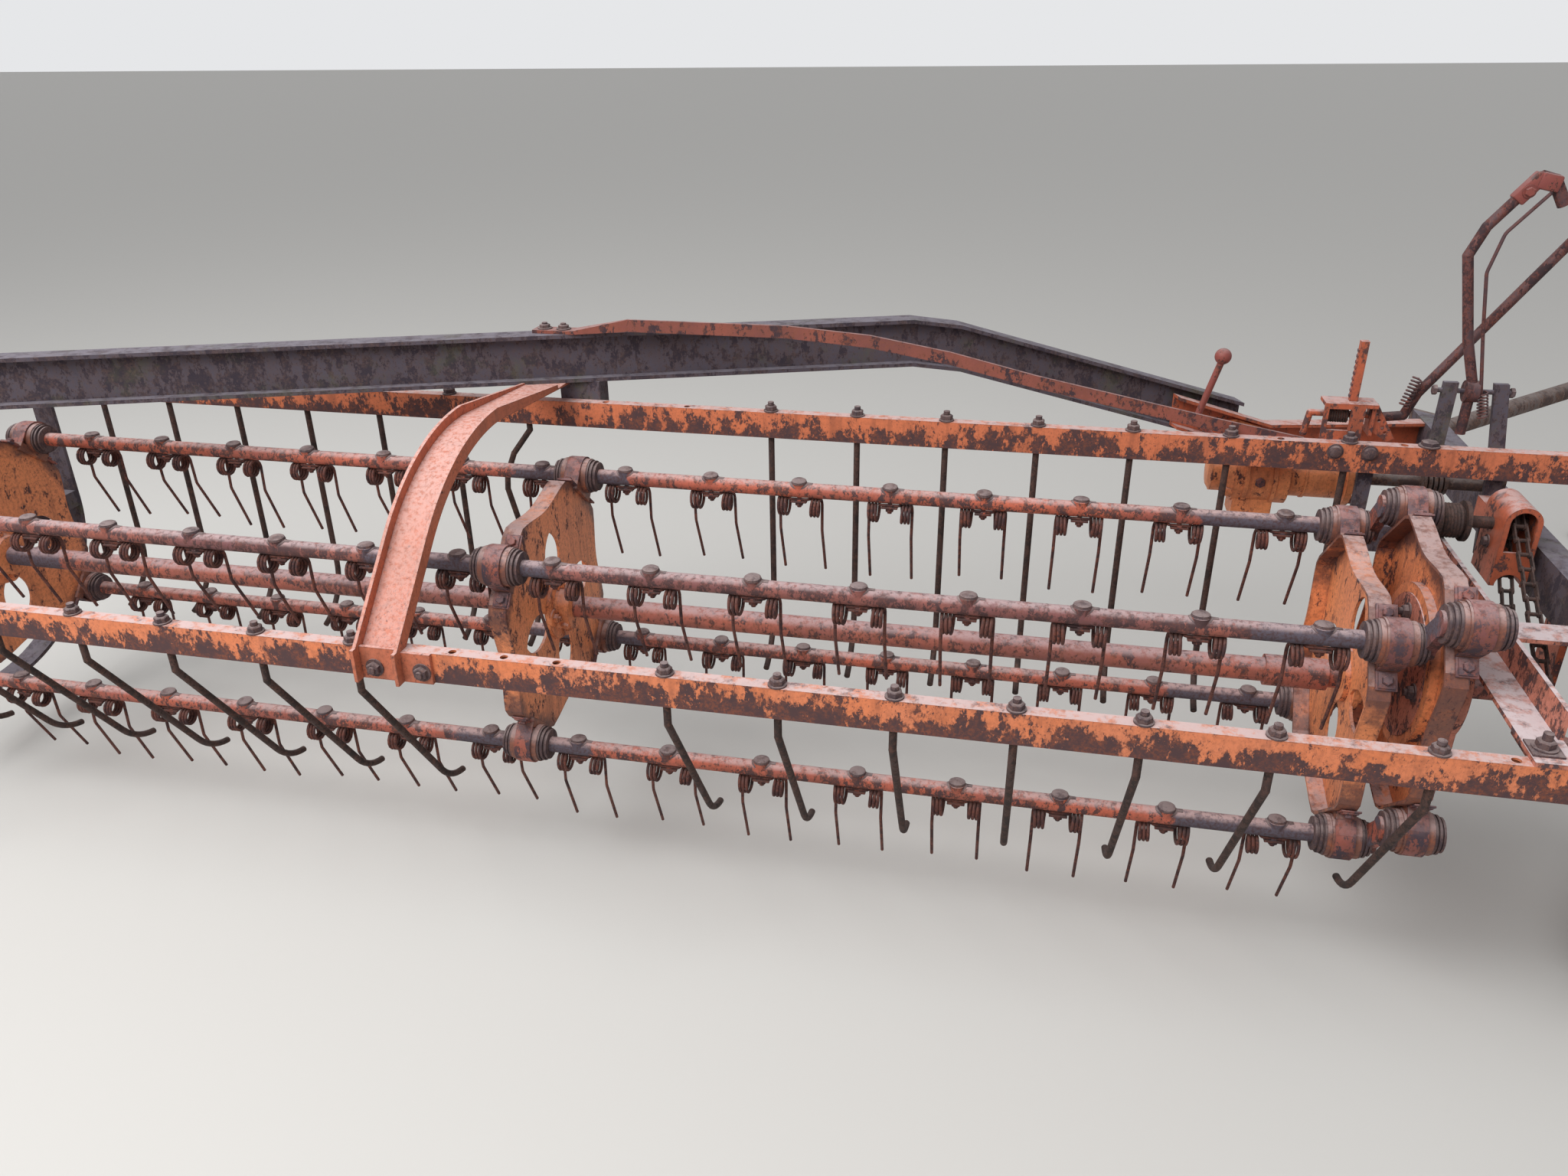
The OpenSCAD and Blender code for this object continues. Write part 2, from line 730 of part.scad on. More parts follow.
// Idler shaft with the flanged spool and the upper sprocket.
module idler_shaft() {
    color(steel) in_place() translate([0, upper_sprocket[0], upper_sprocket[1]]) {
        x_cyl(1812, end_x, 25);
        x_cyl(1832, 1840, 84);
        x_cyl(1839, 1886, 58);
        x_cyl(1885, 1893, 84);
        x_cyl(chain_x - 5, chain_x + 5, 2 * chain_up_r - chain_pin_d - 0.6);
    }
}

// An arch standing across the chain: round on top, straight down to its foot.
module hood_arch(y0, y1, foot, crown_z, half_w) {
    translate([0, y1, 0]) rotate([90, 0, 0]) linear_extrude(y1 - y0) union() {
        translate([chain_x, crown_z - half_w]) circle(r = half_w);
        translate([chain_x - half_w, foot]) square([2 * half_w, crown_z - half_w - foot]);
    }
}

// Arched hood over the upper sprocket: its front has a window where the chain shows and is
// open below its band, where the chain's lower run comes out.
module chain_hood() {
    y = upper_sprocket[0];
    z = upper_sprocket[1];
    half_w = 34;
    open_w = 24;
    wall = 6;
    front = y - 62;
    back = y + 52;
    crown_z = z + 58;
    foot = z - 112;
    window_low = z - 38;
    band_low = z - 86;
    color(orange) in_place() difference() {
        union() {
            hood_arch(front, back, foot, crown_z, half_w);
            span([chain_x - half_w, back - 2, z - 30], [chain_x + half_w, front_y + rail_t / 2, z + 20]);
        }
        hood_arch(front + wall, back - wall, foot - 1, crown_z - wall, half_w - wall);
        hood_arch(front - 1, front + wall + 1, window_low, crown_z - half_w + open_w, open_w);
        hood_arch(front - 1, front + wall + 1, foot - half_w, band_low, open_w);
        translate([0, y, z]) x_cyl(chain_x - 60, chain_x + 60, 25.5);
    }
}

// Length of a belt round two pulleys on the X axis, and its point after a walk of s along it.
function belt_length(r0, r1, l, wrap) =
    2 * l * cos(wrap) + (PI / 180) * (r0 * (180 + 2 * wrap) + r1 * (180 - 2 * wrap));
function belt_point(s, r0, r1, l, wrap) = let (
        run = l * cos(wrap),
        far = run + r1 * (180 - 2 * wrap) * PI / 180,
        side = [sin(wrap), cos(wrap)],
        back = [sin(wrap), -cos(wrap)])
    s < run ? r0 * side + (s / run) * ([l, 0] + (r1 - r0) * side) :
    s < far ? let (a = 90 - wrap - (s - run) / r1 * 180 / PI) [l + r1 * cos(a), r1 * sin(a)] :
    s < far + run ? [l, 0] + r1 * back + ((s - far) / run) * ((r0 - r1) * back - [l, 0]) :
    let (a = wrap - 90 - (s - far - run) / r0 * 180 / PI) [r0 * cos(a), r0 * sin(a)];

// Flat plate of a chain link between two joints, with cut corners.
module chain_plate(a, b, x0, t, h) {
    v = b - a;
    l = norm(v);
    c = h * 0.25;
    x_extrude(x0, t) translate(a) rotate(atan2(v[1], v[0]))
        polygon([[-h / 2, -c], [-c, -h / 2], [l + c, -h / 2], [l + h / 2, -c],
                 [l + h / 2, c], [l + c, h / 2], [-c, h / 2], [-h / 2, c]]);
}

// Drive chain round the two sprockets: inner and outer links in turn on their pins.
module drive_chain() {
    links = 32;
    plate_t = 3;
    pin_end = chain_inside / 2 + 2 * plate_t + 1;
    reach = norm(upper_sprocket);
    wrap = asin((chain_low_r - chain_up_r) / reach);
    step = belt_length(chain_low_r, chain_up_r, reach, wrap) / links;
    joints = [for (k = [0 : links]) belt_point(k * step, chain_low_r, chain_up_r, reach, wrap)];
    color(rust) in_place() rotate([atan2(upper_sprocket[1], upper_sprocket[0]), 0, 0])
        for (k = [0 : links - 1]) {
            inside = chain_inside / 2 + (k % 2) * plate_t;
            for (x0 = [inside, -inside - plate_t])
                chain_plate(joints[k], joints[k + 1], chain_x + x0, plate_t, chain_plate_h);
            translate([0, joints[k][0], joints[k][1]])
                x_cyl(chain_x - pin_end, chain_x + pin_end, chain_pin_d, $fn = 16);
        }
}

// Screw adjuster on the front rail: crank, spring, bracket, rod and quadrant plate.
module crank_adjuster() {
    y0 = front_y + rail_t / 2;
    screw_z = front_top + 48;
    color(orange) in_place() {
        difference() {
            span([1610, y0, front_z], [1690, y0 + 8, front_top + 78]);
            span([1619, y0 - 1, front_top + 20], [1663, y0 + 9, front_top + 66]);
        }
        span([1610, y0, front_top + 70], [1714, y0 + 56, front_top + 78]);
        span([1660, y0 + 22, front_top + 76], [1676, y0 + 38, front_top + 205]);
        span([1706, y0 + 12, front_top + 8], [1714, y0 + 56, front_top + 72]);
        bent_rod([[1612, y0 + 30, screw_z], [1588, y0 + 30, screw_z], [1582, y0 + 30, screw_z - 44]], 14);
        translate([0, y0 + 30, screw_z]) x_cyl(1600, 1708, 14);
        translate([0, y0 + 30, screw_z]) x_cyl(1622, 1662, 30);
        span([1668, y0 + 6, screw_z - 10], [1676, y0 + 31, screw_z + 10]);
        translate([0, y0 + 26, 0]) rotate([90, 0, 0]) linear_extrude(6) difference() {
            polygon([[1702, front_top + 77], [1716, front_top + 77], [1762, front_top + 2],
                     [1748, front_top - 6], [1706, front_top + 20]]);
            for (k = [0 : 3]) translate([1741 - 8 * k, front_top + 14 + 13 * k]) circle(d = 7);
        }
    }
}

// Two uprights behind the front rail with the levers' cross bolt; one runs down to the end channel.
module lever_bracket() {
    y0 = front_y + rail_t / 2;
    bar_t = 12;
    color(dark) in_place() {
        span([1826, y0, front_z - 20], [1854, y0 + bar_t, lever_bolt_z + 18]);
        translate([0, y0 + bar_t, 0]) rotate([90, 0, 0]) linear_extrude(bar_t)
            polygon([[1920, lever_bolt_z + 18], [1948, lever_bolt_z + 18], [1975, 330], [1992, 225],
                     [end_x, 205], [end_x, 120], [1966, 120], [1946, 330]]);
        translate([0, y0 + bar_t / 2, lever_bolt_z]) x_cyl(1816, 1958, lever_bolt_d);
    }
}

// Cranked hand lever on the cross bolt.
module tilt_lever() {
    y0 = front_y + rail_t / 2 + 6;
    color(dark) in_place() {
        difference() {
            translate([0, y0, lever_bolt_z]) x_cyl(1868, 1892, 44);
            translate([0, y0, lever_bolt_z]) x_cyl(1860, 1900, lever_bolt_d + 0.5);
        }
        bent_rod([[1880, y0, lever_bolt_z + 16], [1852, y0, 580], [1815, y0, 745], [1836, y0, 800],
                  [1908, y0, 893]], 20);
        bent_rod([[1908, y0, 893], [1934, y0, 886], [1960, y0, 842]], 24);
        translate([1880, y0, lever_bolt_z - 90]) cylinder(h = 76, d = 20);
    }
}

// Straight hand lever on the quadrant plate.
module lift_lever() {
    y0 = front_y + rail_t / 2 + 66;
    color(dark) in_place() {
        bent_rod([[1712, y0, 392], [1782, y0, 401], [1800, y0, 450], [2003, y0, 752], [2120, y0, 925]], 20);
    }
}

// Dark channel along the machine's right end, from the draw point back to the wheel leg.
module end_channel() {
    wall = 8;
    mitre_x = draw_point[0] + draw_point[1];
    color(dark) in_place() difference() {
        translate([0, 0, cross_z - cross_h / 2]) linear_extrude(cross_h)
            polygon([[end_x, end_back], [end_x + end_w, end_back],
                     [end_x + end_w, mitre_x - end_x - end_w], [end_x, mitre_x - end_x]]);
        span([end_x + wall, end_back - 1, cross_z - cross_h / 2 + wall],
             [end_x + end_w + 1, draw_point[1] - 90, cross_z + cross_h / 2 - wall]);
    }
}

// Places a layout along the tongue, at the ground's zero height.
module tongue_place() {
    in_place() translate([draw_point[0], draw_point[1], 0]) rotate([0, 0, travel]) children();
}

// Tongue tube on its end plate, with the stand's sleeve.
module tongue() {
    sleeve_w = 60;
    color(steel) tongue_place() {
        span([0, -45, cross_z - cross_h / 2], [14, 45, cross_z + cross_h / 2]);
        translate([0, 0, tongue_z]) {
            x_cyl(13, hitch_reach - clevis_back, tongue_d);
            difference() {
                span([hitch_reach - stand_back - sleeve_w / 2, 20, -70],
                     [hitch_reach - stand_back + sleeve_w / 2, stand_side + 33, 70]);
                translate([hitch_reach - stand_back, stand_side, -80]) cylinder(h = 160, d = 42.6);
            }
        }
    }
}

// Drop plate on the tongue's end with the two clevis plates round the hitch pin.
module hitch_clevis() {
    plate_t = 12;
    plate_w = 64;
    gap = 40;
    color(steel) tongue_place() {
        span([hitch_reach - clevis_back, -tongue_d / 2 - 4, hitch_z - gap / 2 - plate_t],
             [hitch_reach - clevis_back + 40, tongue_d / 2 + 4, tongue_z + tongue_d / 2 + 4]);
        for (z = [-gap / 2 - plate_t, gap / 2]) translate([hitch_reach, 0, hitch_z + z])
            linear_extrude(plate_t) difference() {
                union() {
                    translate([-clevis_back, -plate_w / 2]) square([clevis_back, plate_w]);
                    circle(d = plate_w);
                }
                circle(d = hitch_bore);
            }
    }
}

// Drop leg of the parking stand, with its round foot.
module stand_leg() {
    color(rust) tongue_place() translate([hitch_reach - stand_back, stand_side, ground_z]) {
        translate([0, 0, 5]) cylinder(h = tongue_z + 110 - ground_z - 5, d = 42);
        cylinder(h = 8, d = 150);
    }
}

// Leg from the end channel down to the main wheel's stub axle.
module wheel_leg() {
    axle_z = ground_z + tyre_r;
    leg_y = 160;
    color(orange) in_place() {
        span([end_x + end_w, leg_y, axle_z - 30], [end_x + end_w + 14, leg_y + 90, cross_z + cross_h / 2]);
        translate([wheel_at[0], wheel_at[1], axle_z]) rotate([0, 0, travel - 90]) {
            x_cyl(-330, 60, 36);
            x_cyl(-330, -100, 54);
        }
    }
}

// A tyre about its own X axis, crowned and rounded at its shoulders.
module tyre(r, w, bead_r, bead_w, flange_h) {
    s = w * 0.22;
    low = (w - bead_w) / 2;
    rotate([0, 90, 0]) translate([0, 0, -w / 2]) rotate_extrude($fn = 64)
        polygon([[bead_r, low], [bead_r + flange_h, low], [r - 2.2 * s, 0], [r - s, w * 0.04],
                 [r - 0.2 * s, w * 0.2], [r, w * 0.5], [r - 0.2 * s, w * 0.8], [r - s, w * 0.96],
                 [r - 2.2 * s, w], [bead_r + flange_h, w - low], [bead_r, w - low]]);
}

// A disc wheel about its own X axis, with its flanges, disc and hub.
module rim(r, w, bore) {
    difference() {
        union() {
            difference() {
                rotate([0, 90, 0]) translate([0, 0, -w / 2]) rotate_extrude()
                    polygon([[r - 26, 0], [r + lip_h, 0], [r + lip_h, lip_t], [r, lip_t], [r, 26],
                             [r - 20, 34], [r - 20, w - 34], [r, w - 26], [r, w - lip_t],
                             [r + lip_h, w - lip_t], [r + lip_h, w], [r - 26, w]]);
                x_cyl(-w, w, 2 * (r - 26));
            }
            x_cyl(4, 12, 2 * (r - 22));
            x_cyl(-44, 50, 96);
        }
        x_cyl(-w, w, bore);
        for (a = [0 : 72 : 288]) rotate([a, 0, 0]) translate([0, (r + 30) * 0.5, 0]) x_cyl(0, 20, 34);
    }
}

module main_wheel_place() {
    in_place() translate([wheel_at[0], wheel_at[1], ground_z + tyre_r])
        rotate([0, 0, travel - 90]) children();
}

module wheel_rim() { color(rust) main_wheel_place() rim(rim_r, rim_w_main, 36 + 2 * run_fit); }

module wheel_tyre() {
    color(rubber) main_wheel_place()
        tyre(tyre_r, tyre_w, rim_r + bead_fit, rim_w_main - 2 * lip_t, lip_h + 0.5);
}

// Post under the beam's left end that holds the castor's spindle.
module castor_mast() {
    color(orange) in_place() difference() {
        union() {
            translate([castor_at[0], castor_at[1], 40]) cylinder(h = beam_top - beam_h - 40, d = 76);
            translate([castor_at[0], castor_at[1], beam_top - beam_h - 12]) rotate([0, 0, beam_yaw])
                span([-70, -beam_w / 2, 0], [70, beam_w / 2, 12]);
        }
        translate([castor_at[0], castor_at[1], 39]) cylinder(h = 300, d = 38 + 2 * run_fit);
    }
}

// Fork that swivels under the mast and trails the castor wheel.
module castor_fork() {
    axle_z = ground_z + castor_r;
    color(orange) in_place() translate([castor_at[0], castor_at[1], 0]) rotate([0, 0, travel]) {
        cylinder(h = 330, d = 38);
        translate([0, 0, -10]) cylinder(h = 46, d = 76);
        span([-90, -92, -30], [50, 92, -10]);
        for (s = [-1, 1]) rotate([90, 0, 0]) translate([0, 0, s * 85 - 6]) linear_extrude(12)
            polygon([[-90, -10], [40, -10],
                     [-castor_trail + 34, axle_z - 30], [-castor_trail - 34, axle_z - 30]]);
        translate([-castor_trail, 0, axle_z]) rotate([0, 0, 90]) x_cyl(-100, 100, 25);
    }
}

module castor_wheel_place() {
    in_place() translate([castor_at[0] - castor_trail * travel_x, castor_at[1] - castor_trail * travel_y,
                          ground_z + castor_r]) rotate([0, 0, travel - 90]) children();
}

module castor_rim() {
    seat = castor_rim_w / 2 - lip_t;
    color(rust) castor_wheel_place() difference() {
        union() {
            x_cyl(-seat, seat, 2 * castor_rim_r);
            for (x = [-seat - lip_t, seat]) x_cyl(x, x + lip_t, 2 * (castor_rim_r + castor_lip_h));
            x_cyl(-66, 66, 60);
        }
        x_cyl(-70, 70, 25 + 2 * run_fit);
        x_cyl(-seat - lip_t - 1, -8, 150);
        x_cyl(8, seat + lip_t + 1, 150);
    }
}

module castor_tyre() {
    color(rubber) castor_wheel_place()
        tyre(castor_r, castor_w, castor_rim_r + bead_fit, castor_rim_w - 2 * lip_t, castor_lip_h + 0.5);
}

main_beam();
beam_arm();
strap_brace();
center_hanger();
curved_arm();
front_rail();
rear_rail();
front_strippers();
rear_strippers();
left_end_strap();
left_hanger();
end_arm();
rail_post();
gear_case();
shift_lever();
drive_shaft();
idler_shaft();
chain_hood();
drive_chain();
crank_adjuster();
lever_bracket();
end_channel();
tongue();
hitch_clevis();
stand_leg();
wheel_leg();
wheel_rim();
wheel_tyre();
castor_mast();
castor_fork();
castor_rim();
castor_tyre();
tilt_lever();
lift_lever();
core_shaft();
reel_spiders();
control_spider();
tooth_bar_a();
tooth_bar_b();
tooth_bar_c();
tooth_bar_d();
tines_a();
tines_b();
tines_c();
tines_d();
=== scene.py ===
"""Looks of a rotary hay rake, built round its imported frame.

Lengths are metres. The frame's origin is the hitch pin. Sizes here are given about the
reel, whose origin lies on its axis at the middle spider: X runs along the reel towards its
leading end, Y away from the rear rail and Z up. REEL_AT moves them into the frame.
"""

from __future__ import annotations

import logging
import math
import random
from dataclasses import dataclass, field
from enum import Enum

import bmesh
import bpy
from mathutils import Matrix, Vector


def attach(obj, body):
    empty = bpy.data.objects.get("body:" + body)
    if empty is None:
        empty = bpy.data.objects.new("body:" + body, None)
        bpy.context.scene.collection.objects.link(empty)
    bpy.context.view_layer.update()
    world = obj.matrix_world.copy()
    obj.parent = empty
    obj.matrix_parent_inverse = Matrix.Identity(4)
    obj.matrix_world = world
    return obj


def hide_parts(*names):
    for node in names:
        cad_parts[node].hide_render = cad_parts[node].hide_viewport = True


LOG = logging.getLogger("hay_rake")
REEL_AT = Vector((-3.256082, -2.382082, 0.115))
GROUND_Z = -0.43
X_AXIS, Y_AXIS, Z_AXIS = Vector((1, 0, 0)), Vector((0, 1, 0)), Vector((0, 0, 1))
AXLE = Vector((math.cos(-math.pi / 4), math.sin(-math.pi / 4), 0))  # Of both wheels
SMOOTH_ANGLE = math.radians(38)

Socket = bpy.types.NodeSocket
Value = Socket | float | tuple  # What a node's input takes

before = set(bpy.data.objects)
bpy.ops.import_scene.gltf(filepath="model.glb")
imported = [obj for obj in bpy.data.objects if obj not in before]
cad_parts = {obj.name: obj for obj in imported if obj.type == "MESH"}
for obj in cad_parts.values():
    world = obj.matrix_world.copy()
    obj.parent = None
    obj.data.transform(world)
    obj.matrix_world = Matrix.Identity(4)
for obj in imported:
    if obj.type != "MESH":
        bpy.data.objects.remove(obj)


# Colours and node graphs

def linear(hex_colour: str) -> tuple[float, float, float, float]:
    """Turn a written sRGB colour into the linear one that a shader takes.

    Args:
        hex_colour: Six hex digits.

    Returns:
        Red, green, blue and alpha.
    """
    parts = [int(hex_colour[i:i + 2], 16) / 255 for i in (0, 2, 4)]
    low_end, slope, offset, power = 0.04045, 12.92, 0.055, 2.4
    values = [p / slope if p <= low_end else ((p + offset) / (1 + offset)) ** power for p in parts]
    return (*values, 1.0)


class Graph:
    """A node tree that is written from the inside out."""

    def __init__(self, tree: bpy.types.NodeTree) -> None:
        """Keep the tree to add nodes to."""
        self.tree = tree

    def node(self, kind: str, inputs: dict | None = None, **settings: object) -> bpy.types.Node:
        """Add one node and feed its inputs.

        Args:
            kind: The node's type name.
            inputs: Values or sockets by the input's name or number.
            settings: The node's own settings.

        Returns:
            The new node.
        """
        made = self.tree.nodes.new(kind)
        for name, value in settings.items():
            setattr(made, name, value)
        for key, value in (inputs or {}).items():
            self.feed(made.inputs[key], value)
        return made

    def feed(self, socket: Socket, value: Value) -> None:
        """Give an input its value, or link it to a socket.

        Args:
            socket: The input.
            value: A value or another socket.
        """
        if isinstance(value, Socket):
            self.tree.links.new(value, socket)
        else:
            socket.default_value = value

    def math(self, operation: str, a: Value, b: Value = 0.0) -> Socket:
        """Join two values by one operation, kept between 0 and 1."""
        made = self.node("ShaderNodeMath", {0: a, 1: b}, operation=operation, use_clamp=True)
        return made.outputs[0]

    def free_math(self, operation: str, a: Value, b: Value) -> Socket:
        """Join two values by one operation, with nothing cut off."""
        return self.node("ShaderNodeMath", {0: a, 1: b}, operation=operation).outputs[0]

    def vector_math(self, operation: str, a: Value, b: Value, output: str | int = 0) -> Socket:
        """Join two vectors by one operation."""
        return self.node("ShaderNodeVectorMath", {0: a, 1: b}, operation=operation).outputs[output]

    def place(self) -> Socket:
        """Give the place on the piece, in the frame."""
        return self.node("ShaderNodeTexCoord").outputs["Object"]

    def join(self, source: Socket, target: Socket) -> None:
        """Link a socket to an input."""
        self.tree.links.new(source, target)

    def remap(self, value: Value, low: float, high: float) -> Socket:
        """Stretch a value from low..high to 0..1 with smooth ends."""
        inputs = {"Value": value, "From Min": low, "From Max": high}
        return self.node("ShaderNodeMapRange", inputs, interpolation_type="SMOOTHSTEP").outputs["Result"]

    def noise(self, place: Socket, scale: Value, detail: float = 6.0, rough: float = 0.6) -> Socket:
        """Give fractal noise at a place."""
        inputs = {"Vector": place, "Scale": scale, "Detail": detail, "Roughness": rough}
        return self.node("ShaderNodeTexNoise", inputs).outputs["Fac"]

    def mix(self, factor: Value, a: Value, b: Value) -> Socket:
        """Mix two colours by a factor."""
        return self.node("ShaderNodeMix", {0: factor, 6: a, 7: b}, data_type="RGBA").outputs[2]

    def blend_values(self, factor: Value, a: Value, b: Value) -> Socket:
        """Mix two numbers by a factor."""
        return self.node("ShaderNodeMix", {0: factor, 2: a, 3: b}, data_type="FLOAT").outputs[0]


def blank_material(name: str) -> tuple:
    """Start a material.

    Args:
        name: The material's name.

    Returns:
        The material, a graph on its tree and its Principled BSDF.
    """
    made = bpy.data.materials.new(name)
    made.use_nodes = True
    return made, Graph(made.node_tree), made.node_tree.nodes["Principled BSDF"]


def new_group(name: str, inputs: dict[str, float], outputs: tuple[str, ...]) -> tuple:
    """Start a node group with named sockets.

    Args:
        name: The group's name.
        inputs: Each number input with its usual value.
        outputs: Names of the mask outputs.

    Returns:
        The group's tree, a graph on it, its input node and its output node.
    """
    tree = bpy.data.node_groups.new(name, "ShaderNodeTree")
    for socket_name, value in inputs.items():
        socket = tree.interface.new_socket(socket_name, in_out="INPUT", socket_type="NodeSocketFloat")
        socket.default_value = value
    for socket_name in outputs:
        tree.interface.new_socket(socket_name, in_out="OUTPUT", socket_type="NodeSocketFloat")
    graph = Graph(tree)
    return tree, graph, graph.node("NodeGroupInput"), graph.node("NodeGroupOutput")


DRIP_STRETCH = 0.62  # Flakes are drawn out downwards by the inverse of this
FINE_SHARE = 0.32  # Share of the small spots in a flake's outline
WHOLE_PAINT = 0.82  # Level of the flakes' noise above which no paint would be lost


def flaking_group() -> bpy.types.NodeTree:
    """Build the group that says where paint has flaked off.

    Returns:
        A group with the outputs Bare, Halo and Height.
    """
    tree, graph, given, made = new_group(
        "Flaking", {"Scale": 20.0, "Cover": 0.4, "Specks": 0.5, "Low Edge": 0.0, "Low Z": 0.0, "High Z": 1.0},
        ("Bare", "Halo", "Height"))
    place = graph.place()
    drawn = graph.vector_math("MULTIPLY", place, (1.0, 1.0, DRIP_STRETCH))
    big = graph.noise(drawn, given.outputs["Scale"], 9.0, 0.7)
    fine_scale = graph.free_math("MULTIPLY", given.outputs["Scale"], 4.5)
    spots = graph.noise(drawn, fine_scale, 5.0, 0.74)
    drift = graph.blend_values(graph.noise(place, 2.3, 3.0, 0.5), -0.06, 0.06)
    height = graph.node("ShaderNodeSeparateXYZ", {0: place}).outputs["Z"]
    falling = graph.node("ShaderNodeMapRange", {"Value": height, "From Min": given.outputs["High Z"],
                                                "From Max": given.outputs["Low Z"]}).outputs["Result"]
    edge = graph.free_math("MULTIPLY", falling, given.outputs["Low Edge"])
    mixed = graph.free_math("ADD", graph.blend_values(FINE_SHARE, big, spots), edge)
    mixed = graph.free_math("ADD", mixed, drift)
    limit = graph.free_math("SUBTRACT", WHOLE_PAINT, given.outputs["Cover"])
    past = graph.free_math("SUBTRACT", mixed, limit)
    chips = graph.remap(graph.noise(drawn, 230.0, 3.0, 0.62), 0.61, 0.645)
    patchy = graph.remap(graph.noise(place, 11.0, 4.0, 0.6), 0.42, 0.62)
    chips = graph.math("MULTIPLY", graph.math("MULTIPLY", chips, patchy), given.outputs["Specks"])
    bare = graph.math("MAXIMUM", graph.remap(past, -0.003, 0.006), chips)
    halo = graph.remap(past, -0.04, 0.0)
    graph.join(bare, made.inputs["Bare"])
    graph.join(halo, made.inputs["Halo"])
    graph.join(graph.math("SUBTRACT", 1.0, bare), made.inputs["Height"])
    return tree


def streak_group() -> bpy.types.NodeTree:
    """Build the group that draws the runs that rain leaves down a face.

    Returns:
        A group with the output Run.
    """
    tree, graph, given, made = new_group("Streaks", {"Width": 34.0, "Length": 3.4, "Amount": 0.4}, ("Run",))
    width, length = given.outputs["Width"], given.outputs["Length"]
    stretch = graph.node("ShaderNodeCombineXYZ", {0: width, 1: width, 2: length}).outputs[0]
    drawn = graph.vector_math("MULTIPLY", graph.place(), stretch)
    runs = graph.remap(graph.noise(drawn, 1.0, 6.0, 0.66), 0.47, 0.68)
    graph.join(graph.math("MULTIPLY", runs, given.outputs["Amount"]), made.inputs["Run"])
    return tree


def dust_and_top_light_group() -> bpy.types.NodeTree:
    """Build the group that lays pale dust on what faces up, with painted top light in the same pale layer.

    Returns:
        A group with one output, the mask of dust and painted top light.
    """
    tree, graph, given, made = new_group("DustAndTopLight", {"Scale": 30.0, "Amount": 0.7}, ("DustAndTopLight",))
    up = graph.node("ShaderNodeSeparateXYZ", {0: graph.node("ShaderNodeNewGeometry").outputs["Normal"]})
    # Faces that point up take the pale layer: partly dust, partly painted top light.
    facing = graph.remap(up.outputs["Z"], 0.35, 0.97)
    grain = graph.remap(graph.noise(graph.place(), given.outputs["Scale"], 8.0, 0.72), 0.36, 0.6)
    patchy = graph.math("MULTIPLY", facing, graph.math("ADD", grain, 0.25))
    graph.join(graph.math("MULTIPLY", patchy, given.outputs["Amount"]), made.inputs["DustAndTopLight"])
    return tree


def wear_group() -> bpy.types.NodeTree:
    """Build the group that rubs paint off along edges.

    Returns:
        A group with the output Wear.
    """
    tree, graph, given, made = new_group("EdgeWear", {"Radius": 0.004, "Amount": 0.8}, ("Wear",))
    rounded = graph.node("ShaderNodeBevel", {"Radius": given.outputs["Radius"]}, samples=4).outputs[0]
    flat = graph.node("ShaderNodeNewGeometry").outputs["Normal"]
    agreement = graph.vector_math("DOT_PRODUCT", rounded, flat, "Value")
    edge = graph.remap(agreement, 0.995, 0.86)
    broken = graph.remap(graph.noise(graph.place(), 60.0, 5.0, 0.7), 0.34, 0.6)
    worn = graph.math("MULTIPLY", edge, broken)
    graph.join(graph.math("MULTIPLY", worn, given.outputs["Amount"]), made.inputs["Wear"])
    return tree


class Effects:
    """The node groups that several finishes share, each built once."""

    def __init__(self) -> None:
        """Build the groups."""
        self.flaking = flaking_group()
        self.streaks = streak_group()
        self.dust_and_top_light = dust_and_top_light_group()
        self.wear = wear_group()

    @staticmethod
    def place(graph: Graph, tree: bpy.types.NodeTree, **inputs: float) -> bpy.types.Node:
        """Put a group into a material and set its inputs, whose names have _ for a blank.

        Args:
            graph: The graph on the material's tree.
            tree: The group to place.
            inputs: Values by the input's name.

        Returns:
            The group's node.
        """
        made = graph.node("ShaderNodeGroup", node_tree=tree)
        for name, value in inputs.items():
            made.inputs[name.replace("_", " ")].default_value = value
        return made


